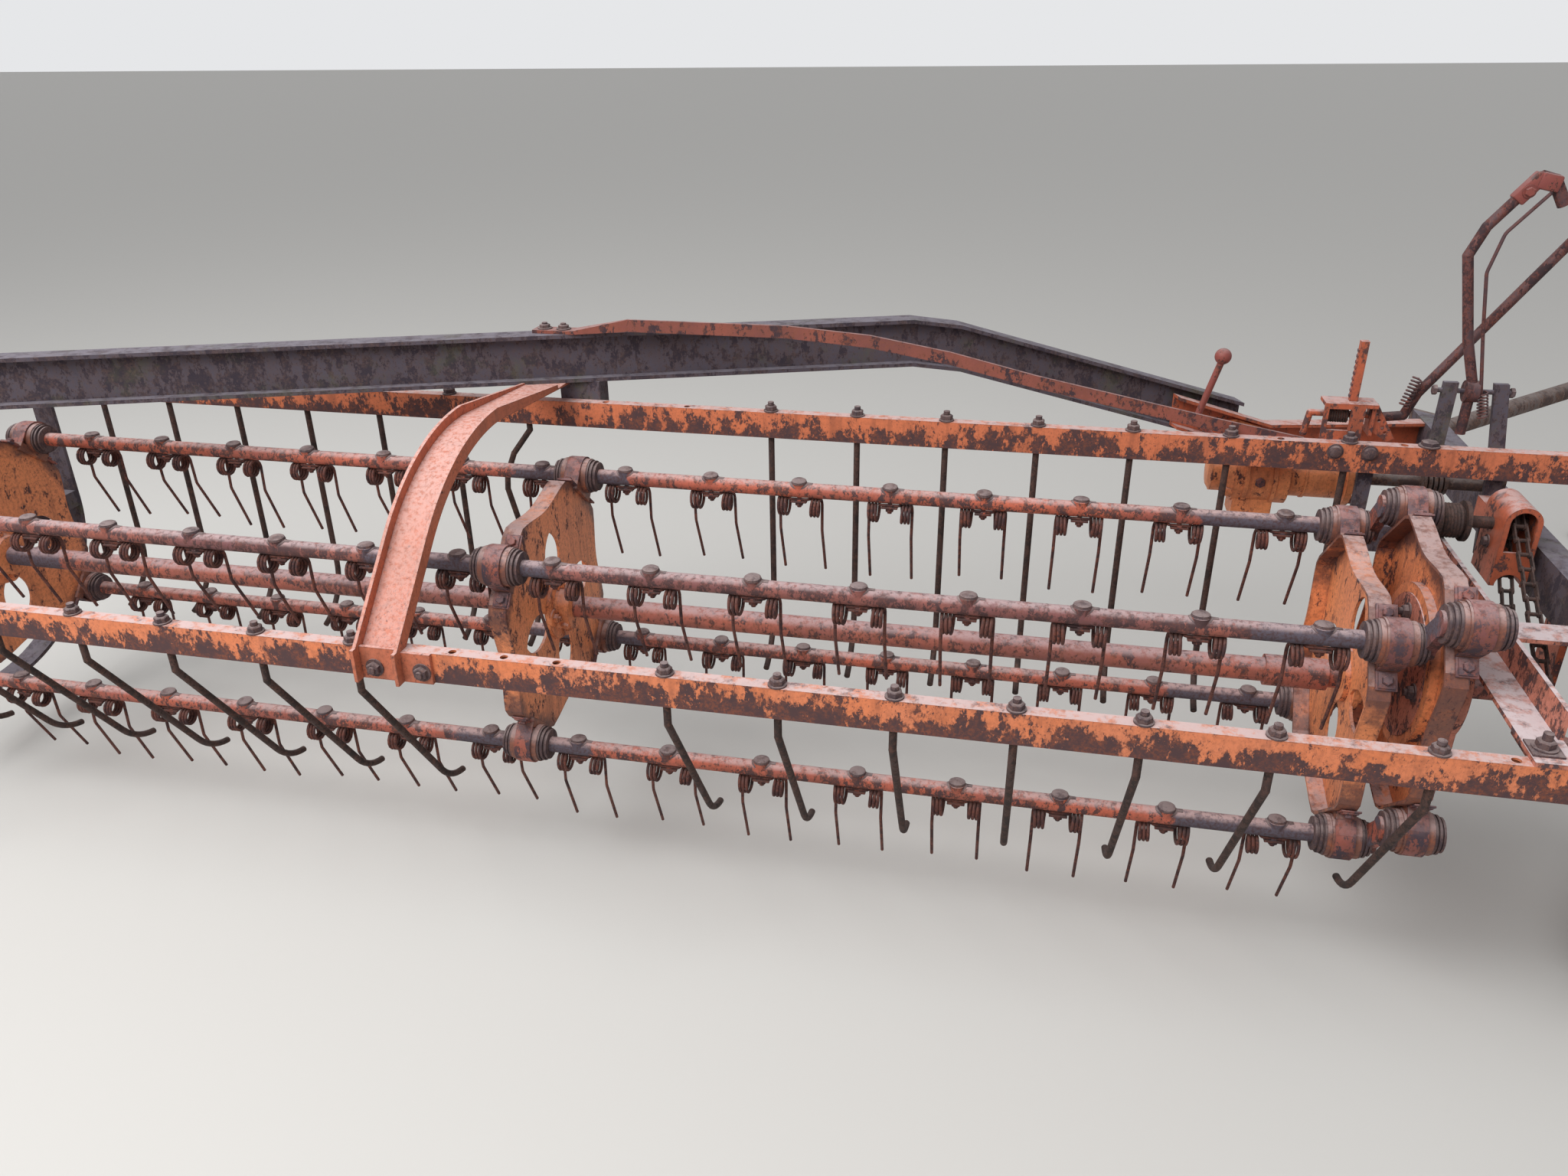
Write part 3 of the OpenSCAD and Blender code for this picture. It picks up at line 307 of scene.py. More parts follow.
@dataclass(frozen=True)
class Finish:
    """A weathered finish: paint over rust, or bare rusted steel."""

    name: str
    paint: str
    paint_dull: str
    rust: str = "4c3738"
    rust_bright: str = "7d4836"
    # Pale colour laid on faces that point up: dust, with painted top light.
    dust_and_top_light: str = "c9b0ad"
    flake_scale: float = 22.0
    flake_cover: float = 0.22
    specks: float = 0.7
    low_edge: float = 0.0
    low_z: float = 0.0
    high_z: float = 1.0
    dust_and_top_light_amount: float = 0.7
    dust_and_top_light_grain: float = 44.0
    wear: float = 0.7
    fade: float = 0.5
    mottle: float = 0.35
    streaks: float = 0.3
    moss: float = 0.0
    rough_paint: float = 0.5
    relief: float = 0.4
    bare_spans: tuple[tuple[float, float], ...] = ()
    bare_steel: str = "57505a"
    moss_green: str = "5d6440"
    tip_radius: float = 0.0

    def paint_colour(self, graph: Graph, effects: Effects, place: Socket) -> Socket:
        """Give the paint with its fading, its fine mottling and the runs of rain.

        Args:
            graph: The graph on the material's tree.
            effects: The shared node groups.
            place: Socket of the place on the piece.

        Returns:
            Socket of the colour.
        """
        cloud = graph.remap(graph.noise(place, 4.5, 6.0, 0.66), 0.34, 0.66)
        faded = graph.math("MULTIPLY", cloud, self.fade)
        colour = graph.mix(faded, linear(self.paint), linear(self.paint_dull))
        speckle = graph.remap(graph.noise(place, 120.0, 6.0, 0.74), 0.42, 0.68)
        colour = graph.mix(graph.math("MULTIPLY", speckle, self.mottle), colour, linear(self.rust_bright))
        runs = effects.place(graph, effects.streaks, Amount=self.streaks).outputs["Run"]
        return graph.mix(runs, colour, linear(self.rust_bright))

    def rust_colour(self, graph: Graph, place: Socket, grain: Socket) -> Socket:
        """Give the bare metal's rust, mottled at two scales."""
        rust = graph.mix(graph.remap(grain, 0.36, 0.66), linear(self.rust), linear(self.rust_bright))
        return graph.mix(graph.remap(graph.noise(place, 38.0, 7.0, 0.7), 0.38, 0.6), rust, linear(self.rust))

    def span_mask(self, graph: Graph, place: Socket) -> Socket:
        """Give the mask of the stretches along X that have lost all their paint, with ragged ends.

        Args:
            graph: The graph on the material's tree.
            place: Socket of the place on the piece.

        Returns:
            Socket of the mask.
        """
        ragged = graph.blend_values(graph.noise(place, 9.0, 5.0, 0.62), -0.09, 0.09)
        along = graph.node("ShaderNodeSeparateXYZ", {0: place}).outputs["X"]
        along = graph.free_math("ADD", along, ragged)
        mask, soft = None, 0.008
        for low, high in self.bare_spans:
            inside = graph.math("MULTIPLY", graph.remap(along, low - soft, low + soft),
                                graph.remap(along, high + soft, high - soft))
            mask = inside if mask is None else graph.math("MAXIMUM", mask, inside)
        return mask

    def tip_mask(self, graph: Graph, place: Socket) -> Socket:
        """Give the mask of what lies far out from the reel's axis, dulled by grease and rain.

        Args:
            graph: The graph on the material's tree.
            place: Socket of the place on the piece.

        Returns:
            Socket of the mask.
        """
        ragged = graph.blend_values(graph.noise(place, 26.0, 6.0, 0.7), -0.05, 0.05)
        out = graph.vector_math("SUBTRACT", place, tuple(REEL_AT))
        out = graph.vector_math("MULTIPLY", out, (0.0, 1.0, 1.0))
        out = graph.vector_math("LENGTH", out, (0.0, 0.0, 0.0), "Value")
        out = graph.free_math("ADD", out, ragged)
        return graph.math("MULTIPLY", graph.remap(out, self.tip_radius, self.tip_radius + 0.035), 0.85)

    def material(self, effects: Effects) -> bpy.types.Material:
        """Build the material.

        Args:
            effects: The shared node groups.

        Returns:
            The finished material.
        """
        made, graph, shader = blank_material(self.name)
        place = graph.place()
        flaking = effects.place(graph, effects.flaking, Scale=self.flake_scale, Cover=self.flake_cover,
                                Specks=self.specks, Low_Edge=self.low_edge, Low_Z=self.low_z,
                                High_Z=self.high_z)
        dust_and_top_light = effects.place(graph, effects.dust_and_top_light, Scale=self.dust_and_top_light_grain,
                             Amount=self.dust_and_top_light_amount).outputs["DustAndTopLight"]
        wear = effects.place(graph, effects.wear, Radius=0.004, Amount=self.wear).outputs["Wear"]
        grain = graph.noise(place, 170.0, 6.0, 0.7)
        rust = self.rust_colour(graph, place, grain)
        bare = graph.math("MAXIMUM", flaking.outputs["Bare"], wear)
        halo = graph.math("MULTIPLY", flaking.outputs["Halo"], 0.55)
        colour = graph.mix(halo, self.paint_colour(graph, effects, place), linear(self.rust_bright))
        colour = graph.mix(bare, colour, rust)
        if self.tip_radius > 0:
            colour = graph.mix(self.tip_mask(graph, place), colour, rust)
        if self.bare_spans:
            spans = self.span_mask(graph, place)
            steel = graph.mix(graph.remap(grain, 0.4, 0.66), linear(self.bare_steel), linear(self.rust))
            colour = graph.mix(spans, colour, steel)
            bare = graph.math("MAXIMUM", bare, spans)
        # Faces that point up turn pale: dust, with painted top light.
        colour = graph.mix(dust_and_top_light, colour, linear(self.dust_and_top_light))
        if self.moss > 0:
            growth = graph.remap(graph.noise(place, 9.0, 8.0, 0.74), 0.52, 0.68)
            colour = graph.mix(graph.math("MULTIPLY", growth, self.moss), colour, linear(self.moss_green))
        matt = graph.math("MAXIMUM", bare, dust_and_top_light)
        self.feed_shader(graph, shader, colour, matt, grain, flaking.outputs["Height"])
        return made

    def feed_shader(self, graph: Graph, shader: bpy.types.Node, colour: Socket, matt: Socket,
                    grain: Socket, height: Socket) -> None:
        """Feed the shader its colour, roughness and relief.

        Args:
            graph: The graph on the material's tree.
            shader: Its Principled BSDF.
            colour: Socket of the surface's colour.
            matt: Mask of bare rust and of the pale dust with its painted top light.
            grain: Fine noise for pitting.
            height: Height of the paint film.
        """
        rough = graph.blend_values(matt, self.rough_paint, 0.88)
        film = graph.node("ShaderNodeBump", {"Strength": self.relief, "Distance": 0.0007, "Height": height})
        pits = graph.node("ShaderNodeBump", {"Strength": 0.35, "Distance": 0.0009, "Height": grain,
                                             "Normal": film.outputs["Normal"]})
        graph.join(colour, shader.inputs["Base Color"])
        graph.join(rough, shader.inputs["Roughness"])
        graph.join(pits.outputs["Normal"], shader.inputs["Normal"])
        shader.inputs["Metallic"].default_value = 0.0
        shader.inputs["Specular IOR Level"].default_value = 0.35


@dataclass(frozen=True)
class Rubber:
    """Weathered tyre rubber with dust in its grain and painted top light on what faces up."""

    name: str = "tyre_rubber"
    dark: str = "2a2928"
    pale: str = "5f5a54"
    # Pale colour laid on faces that point up: dust, with painted top light.
    dust_and_top_light: str = "8b8378"

    def material(self, effects: Effects) -> bpy.types.Material:
        """Build the rubber's material from its two greys.

        Args:
            effects: The shared node groups.

        Returns:
            The finished material.
        """
        made, graph, shader = blank_material(self.name)
        place = graph.place()
        dust_and_top_light = effects.place(graph, effects.dust_and_top_light, Scale=18.0, Amount=0.6).outputs["DustAndTopLight"]
        grain = graph.noise(place, 120.0, 6.0, 0.7)
        cloud = graph.remap(graph.noise(place, 7.0, 7.0, 0.7), 0.4, 0.66)
        colour = graph.mix(graph.math("MULTIPLY", cloud, 0.6), linear(self.dark), linear(self.pale))
        # Faces that point up turn pale: dust, with painted top light.
        colour = graph.mix(dust_and_top_light, colour, linear(self.dust_and_top_light))
        bump = graph.node("ShaderNodeBump", {"Strength": 0.25, "Distance": 0.0008, "Height": grain})
        graph.join(colour, shader.inputs["Base Color"])
        graph.join(graph.blend_values(grain, 0.65, 0.9), shader.inputs["Roughness"])
        graph.join(bump.outputs["Normal"], shader.inputs["Normal"])
        shader.inputs["Specular IOR Level"].default_value = 0.3
        return made


def along_reel(*spans: tuple[float, float]) -> tuple[tuple[float, float], ...]:
    """Move stretches given along the reel into the frame."""
    return tuple((low + REEL_AT.x, high + REEL_AT.x) for low, high in spans)


class Paint(Enum):
    """The finishes on this machine, each with its recipe."""

    REAR_RAIL = Finish("rear_rail_paint", "d67b4f", "cf8263", flake_scale=30.0, flake_cover=0.265,
                       low_edge=0.14, low_z=0.195, high_z=0.245, dust_and_top_light_amount=0.95, wear=0.7, mottle=0.4,
                       streaks=0.4)
    FRONT_RAIL = Finish("front_rail_paint", "d1764f", "bd6c50", flake_scale=30.0, flake_cover=0.27,
                        low_edge=0.10, low_z=0.415, high_z=0.475, dust_and_top_light_amount=0.85, wear=0.7, streaks=0.5)
    SPIDER = Finish("spider_paint", "e38c5b", "d27c54", flake_scale=34.0, flake_cover=0.25, dust_and_top_light_amount=0.6,
                    wear=0.85, mottle=0.5, streaks=0.45, tip_radius=0.24)
    HOUSING = Finish("bearing_paint", "9c5343", "5d4148", rust="443840", dust_and_top_light="b08f8e",
                     flake_scale=40.0, flake_cover=0.33, dust_and_top_light_amount=0.6, wear=0.8, mottle=0.5, fade=0.9)
    BAR = Finish("bar_paint", "bb5f47", "8c4f48", dust_and_top_light="c6a8a4", flake_scale=54.0, flake_cover=0.31,
                 specks=1.0, dust_and_top_light_amount=0.75, dust_and_top_light_grain=90.0, wear=0.3, fade=0.8, mottle=0.6,
                 bare_spans=along_reel((-0.16, -0.03), (0.03, 0.12), (1.36, 1.68)))
    DULL_BAR = Finish("dull_bar_paint", "9a5a4c", "6f4b50", rust_bright="744840", dust_and_top_light="b9a2a2",
                      flake_scale=48.0, flake_cover=0.32, dust_and_top_light_amount=0.75, dust_and_top_light_grain=90.0, wear=0.3,
                      fade=0.9, mottle=0.7, bare_spans=along_reel((-0.3, -0.03), (0.03, 0.1), (1.44, 1.68)))
    CORE = Finish("core_paint", "a95c4a", "7c4f4c", dust_and_top_light="b99f9f", flake_scale=42.0, flake_cover=0.3,
                  dust_and_top_light_amount=0.7, dust_and_top_light_grain=80.0, wear=0.3, fade=0.9, mottle=0.65,
                  bare_spans=along_reel((-1.44, -1.3), (-0.06, -0.03)))
    ARM = Finish("curved_arm_paint", "c0694a", "a9664f", dust_and_top_light="d9b3ac", flake_scale=40.0,
                 flake_cover=0.19, specks=0.9, dust_and_top_light_amount=0.7, dust_and_top_light_grain=110.0, wear=0.8, fade=0.9,
                 mottle=0.55, streaks=0.45)
    # Painted light: the gear case's orange is lighter than its paint, standing for light that falls on the
    # case from the front, under the rail.
    CASE_WITH_PAINTED_LIGHT = Finish("gear_case_paint_with_painted_light", "e6905c", "d58058", flake_scale=30.0, flake_cover=0.22, dust_and_top_light_amount=0.6,
                  wear=0.6, mottle=0.4, streaks=0.4)
    BRACE = Finish("brace_paint", "8f4f42", "6a3f3c", rust="3f2f34", flake_scale=26.0, flake_cover=0.3,
                   dust_and_top_light="a98f8d", dust_and_top_light_amount=0.5, wear=0.7, fade=0.9, mottle=0.6, streaks=0.4)
    END_ARM = Finish("end_arm_paint", "cd8069", "b3786d", rust="4f3e41", flake_scale=30.0, flake_cover=0.29,
                     dust_and_top_light="d0c0c1", dust_and_top_light_amount=1.0, dust_and_top_light_grain=26.0, wear=0.8, mottle=0.5, streaks=0.6)
    FRAME = Finish("frame_paint", "b95d3e", "96503c", flake_scale=24.0, flake_cover=0.27, dust_and_top_light_amount=0.75,
                   wear=0.8, mottle=0.4, streaks=0.5)
    BEAM = Finish("beam_steel", "544d57", "423c45", rust="39313a", rust_bright="5c4946", dust_and_top_light="827d86",
                  flake_scale=34.0, flake_cover=0.31, dust_and_top_light_amount=0.6, dust_and_top_light_grain=30.0, wear=0.4, moss=0.26,
                  rough_paint=0.8, mottle=0.5, streaks=0.35)
    ROD = Finish("rod_steel", "3a2d2b", "2e2424", rust="2f2523", rust_bright="5d3f35", dust_and_top_light="6d5c58",
                 flake_scale=40.0, flake_cover=0.34, dust_and_top_light_amount=0.35, wear=0.3, rough_paint=0.75)
    SPRING = Finish("tine_steel", "4e302d", "5a352d", rust="3c292a", rust_bright="7c4636", dust_and_top_light="75655f",
                    flake_scale=60.0, flake_cover=0.34, dust_and_top_light_amount=0.3, wear=0.2, rough_paint=0.62)
    BOLT = Finish("bolt_steel", "574a4c", "614c4a", rust="46393d", rust_bright="6d5048", dust_and_top_light="988886",
                  flake_scale=60.0, flake_cover=0.34, dust_and_top_light_amount=0.65, wear=0.5, rough_paint=0.7)
    LEVER = Finish("lever_steel", "46353a", "5a3b38", rust="38292c", rust_bright="7a4438", dust_and_top_light="83706f",
                   flake_scale=22.0, flake_cover=0.32, dust_and_top_light_amount=0.4, wear=0.5, rough_paint=0.6)
    GRIP = Finish("grip_paint", "84423c", "6c3c3b", rust="45302f", rust_bright="8a4c3e", dust_and_top_light="a58a88",
                  flake_scale=34.0, flake_cover=0.28, dust_and_top_light_amount=0.5, wear=0.7)
    STEEL = Finish("dull_steel", "5a504f", "4b4444", rust="453735", rust_bright="715344", dust_and_top_light="8d827e",
                   flake_scale=18.0, flake_cover=0.34, dust_and_top_light_amount=0.5, wear=0.4, rough_paint=0.6)
    WHEEL = Finish("wheel_paint", "ae5c40", "8f4f3b", flake_scale=20.0, flake_cover=0.3, dust_and_top_light_amount=0.6,
                   wear=0.7, streaks=0.4)
    RUBBER = Rubber()


class Workshop:
    """Makes each finish once and hands it out."""

    def __init__(self) -> None:
        """Build the shared effects and start with no finish made."""
        self.effects = Effects()
        self.made: dict[Paint, bpy.types.Material] = {}

    def finish(self, paint: Paint) -> bpy.types.Material:
        """Give the material of a finish, building it the first time.

        Args:
            paint: Which finish.

        Returns:
            Its material.
        """
        if paint not in self.made:
            self.made[paint] = paint.value.material(self.effects)
        return self.made[paint]

    def dress(self, node: str, paint: Paint) -> None:
        """Give a CAD node its finish.

        Args:
            node: The node's name.
            paint: Which finish.
        """
        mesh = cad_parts[node].data
        mesh.materials.clear()
        mesh.materials.append(self.finish(paint))


# Shapes

def laid_along(axis: Vector) -> Matrix:
    """Give the rotation that lays the Z axis along another axis."""
    return axis.to_track_quat("Z", "Y").to_matrix().to_4x4()


def out_at(angle: float, reach: float = 1.0) -> Vector:
    """Give the vector that leaves the X axis at an angle from +Y."""
    return Vector((0, math.cos(angle), math.sin(angle))) * reach


class Shape:
    """A mesh in the making, in metres about the reel."""

    def __init__(self) -> None:
        """Start empty."""
        self.bm = bmesh.new()

    def cone(self, at: Vector, axis: Vector, radius: float, top: float, height: float,
             sides: int = 24) -> list:
        """Add a cylinder or cone that starts at a point and runs along an axis.

        Args:
            at: Middle of its first end.
            axis: Direction that it runs in.
            radius: Radius at its first end.
            top: Radius at its far end.
            height: Its length.
            sides: Number of its sides.

        Returns:
            Its vertices.
        """
        place = Matrix.Translation(at + axis.normalized() * height / 2) @ laid_along(axis)
        made = bmesh.ops.create_cone(self.bm, cap_ends=True, segments=sides, radius1=radius, radius2=top,
                                     depth=height, matrix=place)
        return made["verts"]

    def disc(self, at: Vector, axis: Vector, radius: float, height: float, sides: int = 24) -> list:
        """Add a plain cylinder and return its vertices."""
        return self.cone(at, axis, radius, radius, height, sides)

    def block(self, low: tuple, high: tuple, bevel: float = 0.0, turn: Matrix | None = None) -> list:
        """Add a box between two corners, with eased edges.

        Args:
            low: Its low corner.
            high: Its high corner.
            bevel: Size of its eased edges.
            turn: A transform for the finished box.

        Returns:
            Its vertices.
        """
        lo, hi = Vector(low), Vector(high)
        place = Matrix.Translation((lo + hi) / 2) @ Matrix.Diagonal((*(hi - lo), 1.0))
        verts = bmesh.ops.create_cube(self.bm, size=1.0, matrix=place)["verts"]
        if bevel > 0:
            edges = list({e for v in verts for e in v.link_edges})
            made = bmesh.ops.bevel(self.bm, geom=edges, offset=bevel, segments=2, profile=0.5,
                                   affect="EDGES", material=-1)
            verts = list({v for f in made["faces"] for v in f.verts} | {v for v in verts if v.is_valid})
        if turn is not None:
            bmesh.ops.transform(self.bm, matrix=turn, verts=verts)
        return verts

    def dome(self, at: Vector, axis: Vector, radius: float, height: float, sides: int = 18) -> None:
        """Add a low dome on a short rim, such as a carriage bolt's head.

        Args:
            at: Middle of its seat.
            axis: Direction that it stands in.
            radius: Its radius.
            height: Its height.
            sides: Number of its sides.
        """
        rim, shoulder, crown = height * 0.35, height * 0.35, height * 0.3
        middle, top = radius * 0.82, radius * 0.35
        self.disc(at, axis, radius, rim, sides)
        self.cone(at + axis * rim, axis, radius, middle, shoulder, sides)
        self.cone(at + axis * (rim + shoulder), axis, middle, top, crown, sides)

    def nut(self, at: Vector, axis: Vector, radius: float, height: float, stud: float = 0.0) -> None:
        """Add a hexagon nut or bolt head, with a stud end if it has one.

        Args:
            at: Middle of its seat.
            axis: Direction that it stands in.
            radius: From its middle to a corner.
            height: Its height.
            stud: How far the stud stands out of it.
        """
        flats, chamfer, narrowed, stud_radius = height * 0.82, height * 0.18, radius * 0.84, radius * 0.52
        self.disc(at, axis, radius, flats, 6)
        self.cone(at + axis * height * 0.82, axis, radius, narrowed, chamfer, 6)
        if stud > 0:
            self.disc(at, axis, stud_radius, height + stud, 12)

    def stamp(self, mesh: bpy.types.Mesh, place: Matrix) -> None:
        """Copy a finished small mesh to a place.

        Args:
            mesh: The small mesh.
            place: Where the copy goes.
        """
        old = set(self.bm.verts)
        self.bm.from_mesh(mesh)
        bmesh.ops.transform(self.bm, matrix=place, verts=[v for v in self.bm.verts if v not in old])

    def mesh(self, name: str, smooth: float = SMOOTH_ANGLE) -> bpy.types.Mesh:
        """Close the work into a mesh with outward faces and smooth shading.

        Args:
            name: The mesh's name.
            smooth: Angle past which an edge stays sharp.

        Returns:
            The mesh.
        """
        bmesh.ops.recalc_face_normals(self.bm, faces=self.bm.faces[:])
        for face in self.bm.faces:
            face.smooth = True
        made = bpy.data.meshes.new(name)
        self.bm.to_mesh(made)
        self.bm.free()
        made.set_sharp_from_angle(angle=smooth)
        return made

    def publish(self, name: str, body: str, material: bpy.types.Material, slot: str,
                replaces: tuple[str, ...] = ()) -> bpy.types.Object:
        """Turn the work into a piece that rides on a body.

        Args:
            name: The piece's name.
            body: The body that carries it.
            material: Its finish.
            slot: The record's material slot; not used.
            replaces: Nodes that it stands for.

        Returns:
            The new object.
        """
        bmesh.ops.translate(self.bm, vec=REEL_AT, verts=self.bm.verts[:])
        mesh = self.mesh(name)
        mesh.materials.append(material)
        piece = bpy.data.objects.new(name, mesh)
        bpy.context.scene.collection.objects.link(piece)
        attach(piece, body)
        if replaces:
            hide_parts(*replaces)
        LOG.info("%s: %d faces on %s", name, len(mesh.polygons), body)
        return piece


class Wire:
    """A round wire, drawn by pushing one ring of vertices along its path."""

    def __init__(self, shape: Shape, at: Vector, heading: Vector, radius: float, sides: int = 8) -> None:
        """Lay the first ring at a point, facing along the heading.

        Args:
            shape: The shape that the wire becomes part of.
            at: Where the wire starts.
            heading: Direction that it leaves in.
            radius: Half its thickness.
            sides: Number of its sides.
        """
        self.bm = shape.bm
        self.at = at.copy()
        self.heading = heading.normalized()
        place = Matrix.Translation(at) @ laid_along(self.heading)
        ring = bmesh.ops.create_circle(self.bm, cap_ends=True, segments=sides, radius=radius, matrix=place)
        self.rim = list({e for v in ring["verts"] for e in v.link_edges})

    def straight(self, length: float) -> Wire:
        """Run straight on for a length.

        Args:
            length: How far it runs.

        Returns:
            The wire, to go on from its end.
        """
        made = bmesh.ops.extrude_edge_only(self.bm, edges=self.rim)["geom"]
        self.rim = [g for g in made if isinstance(g, bmesh.types.BMEdge)]
        verts = [g for g in made if isinstance(g, bmesh.types.BMVert)]
        bmesh.ops.translate(self.bm, vec=self.heading * length, verts=verts)
        self.at += self.heading * length
        return self

    def turn(self, centre: Vector, axis: Vector, angle: float, steps: int, advance: float = 0.0) -> Wire:
        """Turn about an axis, as a bend or as a coil that advances along it.

        Args:
            centre: A point on the axis.
            axis: The axis that it turns about.
            angle: How far it turns, in radians.
            steps: How many rings that takes.
            advance: How far it moves along the axis in all.

        Returns:
            The wire, to go on from its end.
        """
        along = axis.normalized()
        made = bmesh.ops.spin(self.bm, geom=self.rim, cent=centre, axis=along, angle=angle, steps=steps,
                              dvec=along * (advance / steps), use_duplicate=False)
        self.rim = [g for g in made["geom_last"] if isinstance(g, bmesh.types.BMEdge)]
        spun = Matrix.Rotation(angle, 3, along)
        self.at = centre + spun @ (self.at - centre) + along * advance
        self.heading = spun @ self.heading
        return self

    def bend(self, towards: Vector, radius: float, steps: int = 5) -> Wire:
        """Bend until the wire heads in a new direction.

        Args:
            towards: The new direction.
            radius: Radius of the bend.
            steps: How many rings that takes.

        Returns:
            The wire, to go on from its end.
        """
        goal = towards.normalized()
        axis = self.heading.cross(goal)
        if axis.length < 1e-4:
            return self
        axis.normalize()
        centre = self.at + axis.cross(self.heading) * radius
        return self.turn(centre, axis, self.heading.angle(goal), steps)

    def route(self, points: list[tuple], radius: float) -> Wire:
        """Follow a list of points, bending with one radius at each corner.

        Args:
            points: Where it bends, and its end.
            radius: Radius of each bend.

        Returns:
            The wire, to go on from its end.
        """
        stops = [self.at.copy()] + [Vector(p) for p in points]
        used = 0.0
        for i in range(1, len(stops)):
            leg = stops[i] - stops[i - 1]
            ahead = stops[i + 1] - stops[i] if i + 1 < len(stops) else None
            cut = 0.0 if ahead is None else radius * math.tan(leg.angle(ahead) / 2)
            self.straight(max(leg.length - used - cut, 1e-4))
            if ahead is not None:
                self.bend(ahead, radius)
            used = cut
        return self

    def cap(self) -> None:
        """Close the wire's far end."""
        bmesh.ops.edgeloop_fill(self.bm, edges=self.rim)


# The reel

@dataclass
class Reel:
    """The reel's sizes that several of its pieces share."""

    bar_circle: float = 0.310
    phase: float = math.radians(49.5)
    bar_radius: float = 0.0167
    spiders: tuple[float, ...] = (-1.490, 0.0, 1.650)
    control_x: float = 1.740
    control_axis: Vector = field(default_factory=lambda: Vector((0, -0.064, 0.073)))
    tine_pitch: float = 0.203
    first_tine: float = 0.110
    tines_left: int = 7
    tines_right: int = 8
    lobe_radius: float = 0.268
    housing_radius: float = 0.0395
    housing_length: float = 0.060

    def bar_angle(self, number: int) -> float:
        """Give the angle of a tooth bar about the reel's axis."""
        return self.phase + number * math.pi / 2

    def bar_at(self, number: int) -> Vector:
        """Give a tooth bar's place at the middle spider."""
        return out_at(self.bar_angle(number), self.bar_circle)

    def tine_places(self) -> list[float]:
        """Give the place of each double tine along a bar."""
        return [self.first_tine + k * self.tine_pitch for k in range(-self.tines_left, self.tines_right)]

    def lobe_turn(self, number: int) -> Matrix:
        """Give the rotation that brings the Y axis out along a spider's lobe."""
        return Matrix.Rotation(self.bar_angle(number), 4, "X")


@dataclass
class SpringTines:
    """The double spring tines of the four tooth bars."""

    reel: Reel
    wire: float = 0.0034
    coil: float = 0.0196
    coil_start: float = 0.0235
    leg_x: float = 0.048
    turns: float = 3.25
    steps_a_turn: int = 14
    drop: float = 0.214
    kink_drop: float = 0.1026
    lean: float = math.radians(22.4)
    entry_bend: float = 0.006
    kink_bend: float = 0.02
    seat: float = 0.0003
    setback: float = 0.004
    plate: tuple[float, float, float] = (0.036, 0.022, 0.004)
    nut: tuple[float, float, float] = (0.0095, 0.008, 0.004)
    stray: float = math.radians(3.5)

    def double_tine(self) -> bpy.types.Mesh:
        """Build one double tine about its bar's axis: coils, legs, keeper plate and nut.

        Returns:
            A mesh to be copied along the bars.
        """
        shape = Shape()
        coil_z = -self.reel.bar_radius - self.seat - self.coil - self.wire
        top = coil_z + self.coil
        wire = Wire(shape, Vector((0, -self.setback, top)), X_AXIS, self.wire)
        wire.straight(self.coil_start - self.entry_bend).bend(Y_AXIS, self.entry_bend, 4)
        start = wire.at.copy()
        centre = Vector((0, start.y, coil_z))
        steps = round(self.turns * self.steps_a_turn)
        wire.turn(centre, X_AXIS, -self.turns * 2 * math.pi, steps, self.leg_x - start.x)
        wire.straight(self.kink_drop + coil_z - self.setback)
        down = Vector((0, math.sin(self.lean), -math.cos(self.lean)))
        wire.bend(down, self.kink_bend, 4)
        wire.straight((self.drop - self.kink_drop) / math.cos(self.lean))
        wire.cap()
        twin = shape.bm.verts[:] + shape.bm.edges[:] + shape.bm.faces[:]
        bmesh.ops.mirror(shape.bm, geom=twin, axis="X", merge_dist=0.0005)
        length, width, thick = self.plate
        low = top - self.wire - thick
        shape.block((-length / 2, -width / 2, low), (length / 2, width / 2, low + thick), 0.0012)
        shape.nut(Vector((0, 0, low)), -Z_AXIS, *self.nut)
        return shape.mesh("double_tine")

    def build(self, shop: Workshop) -> None:
        """Copy the double tine along each bar, each a little out of line.

        Args:
            shop: Where finishes come from.
        """
        pattern = self.double_tine()
        for number, letter in enumerate("abcd"):
            chance = random.Random(40 + number)
            shape = Shape()
            for x in self.reel.tine_places():
                sway = Matrix.Rotation(chance.uniform(-self.stray, self.stray), 4, "X")
                place = Matrix.Translation(self.reel.bar_at(number) + X_AXIS * x) @ sway
                shape.stamp(pattern, place)
            shape.publish(f"spring_tines_{letter}", f"bar_{letter}", shop.finish(Paint.SPRING), "rusted_rod",
                          (f"tines_{letter}",))


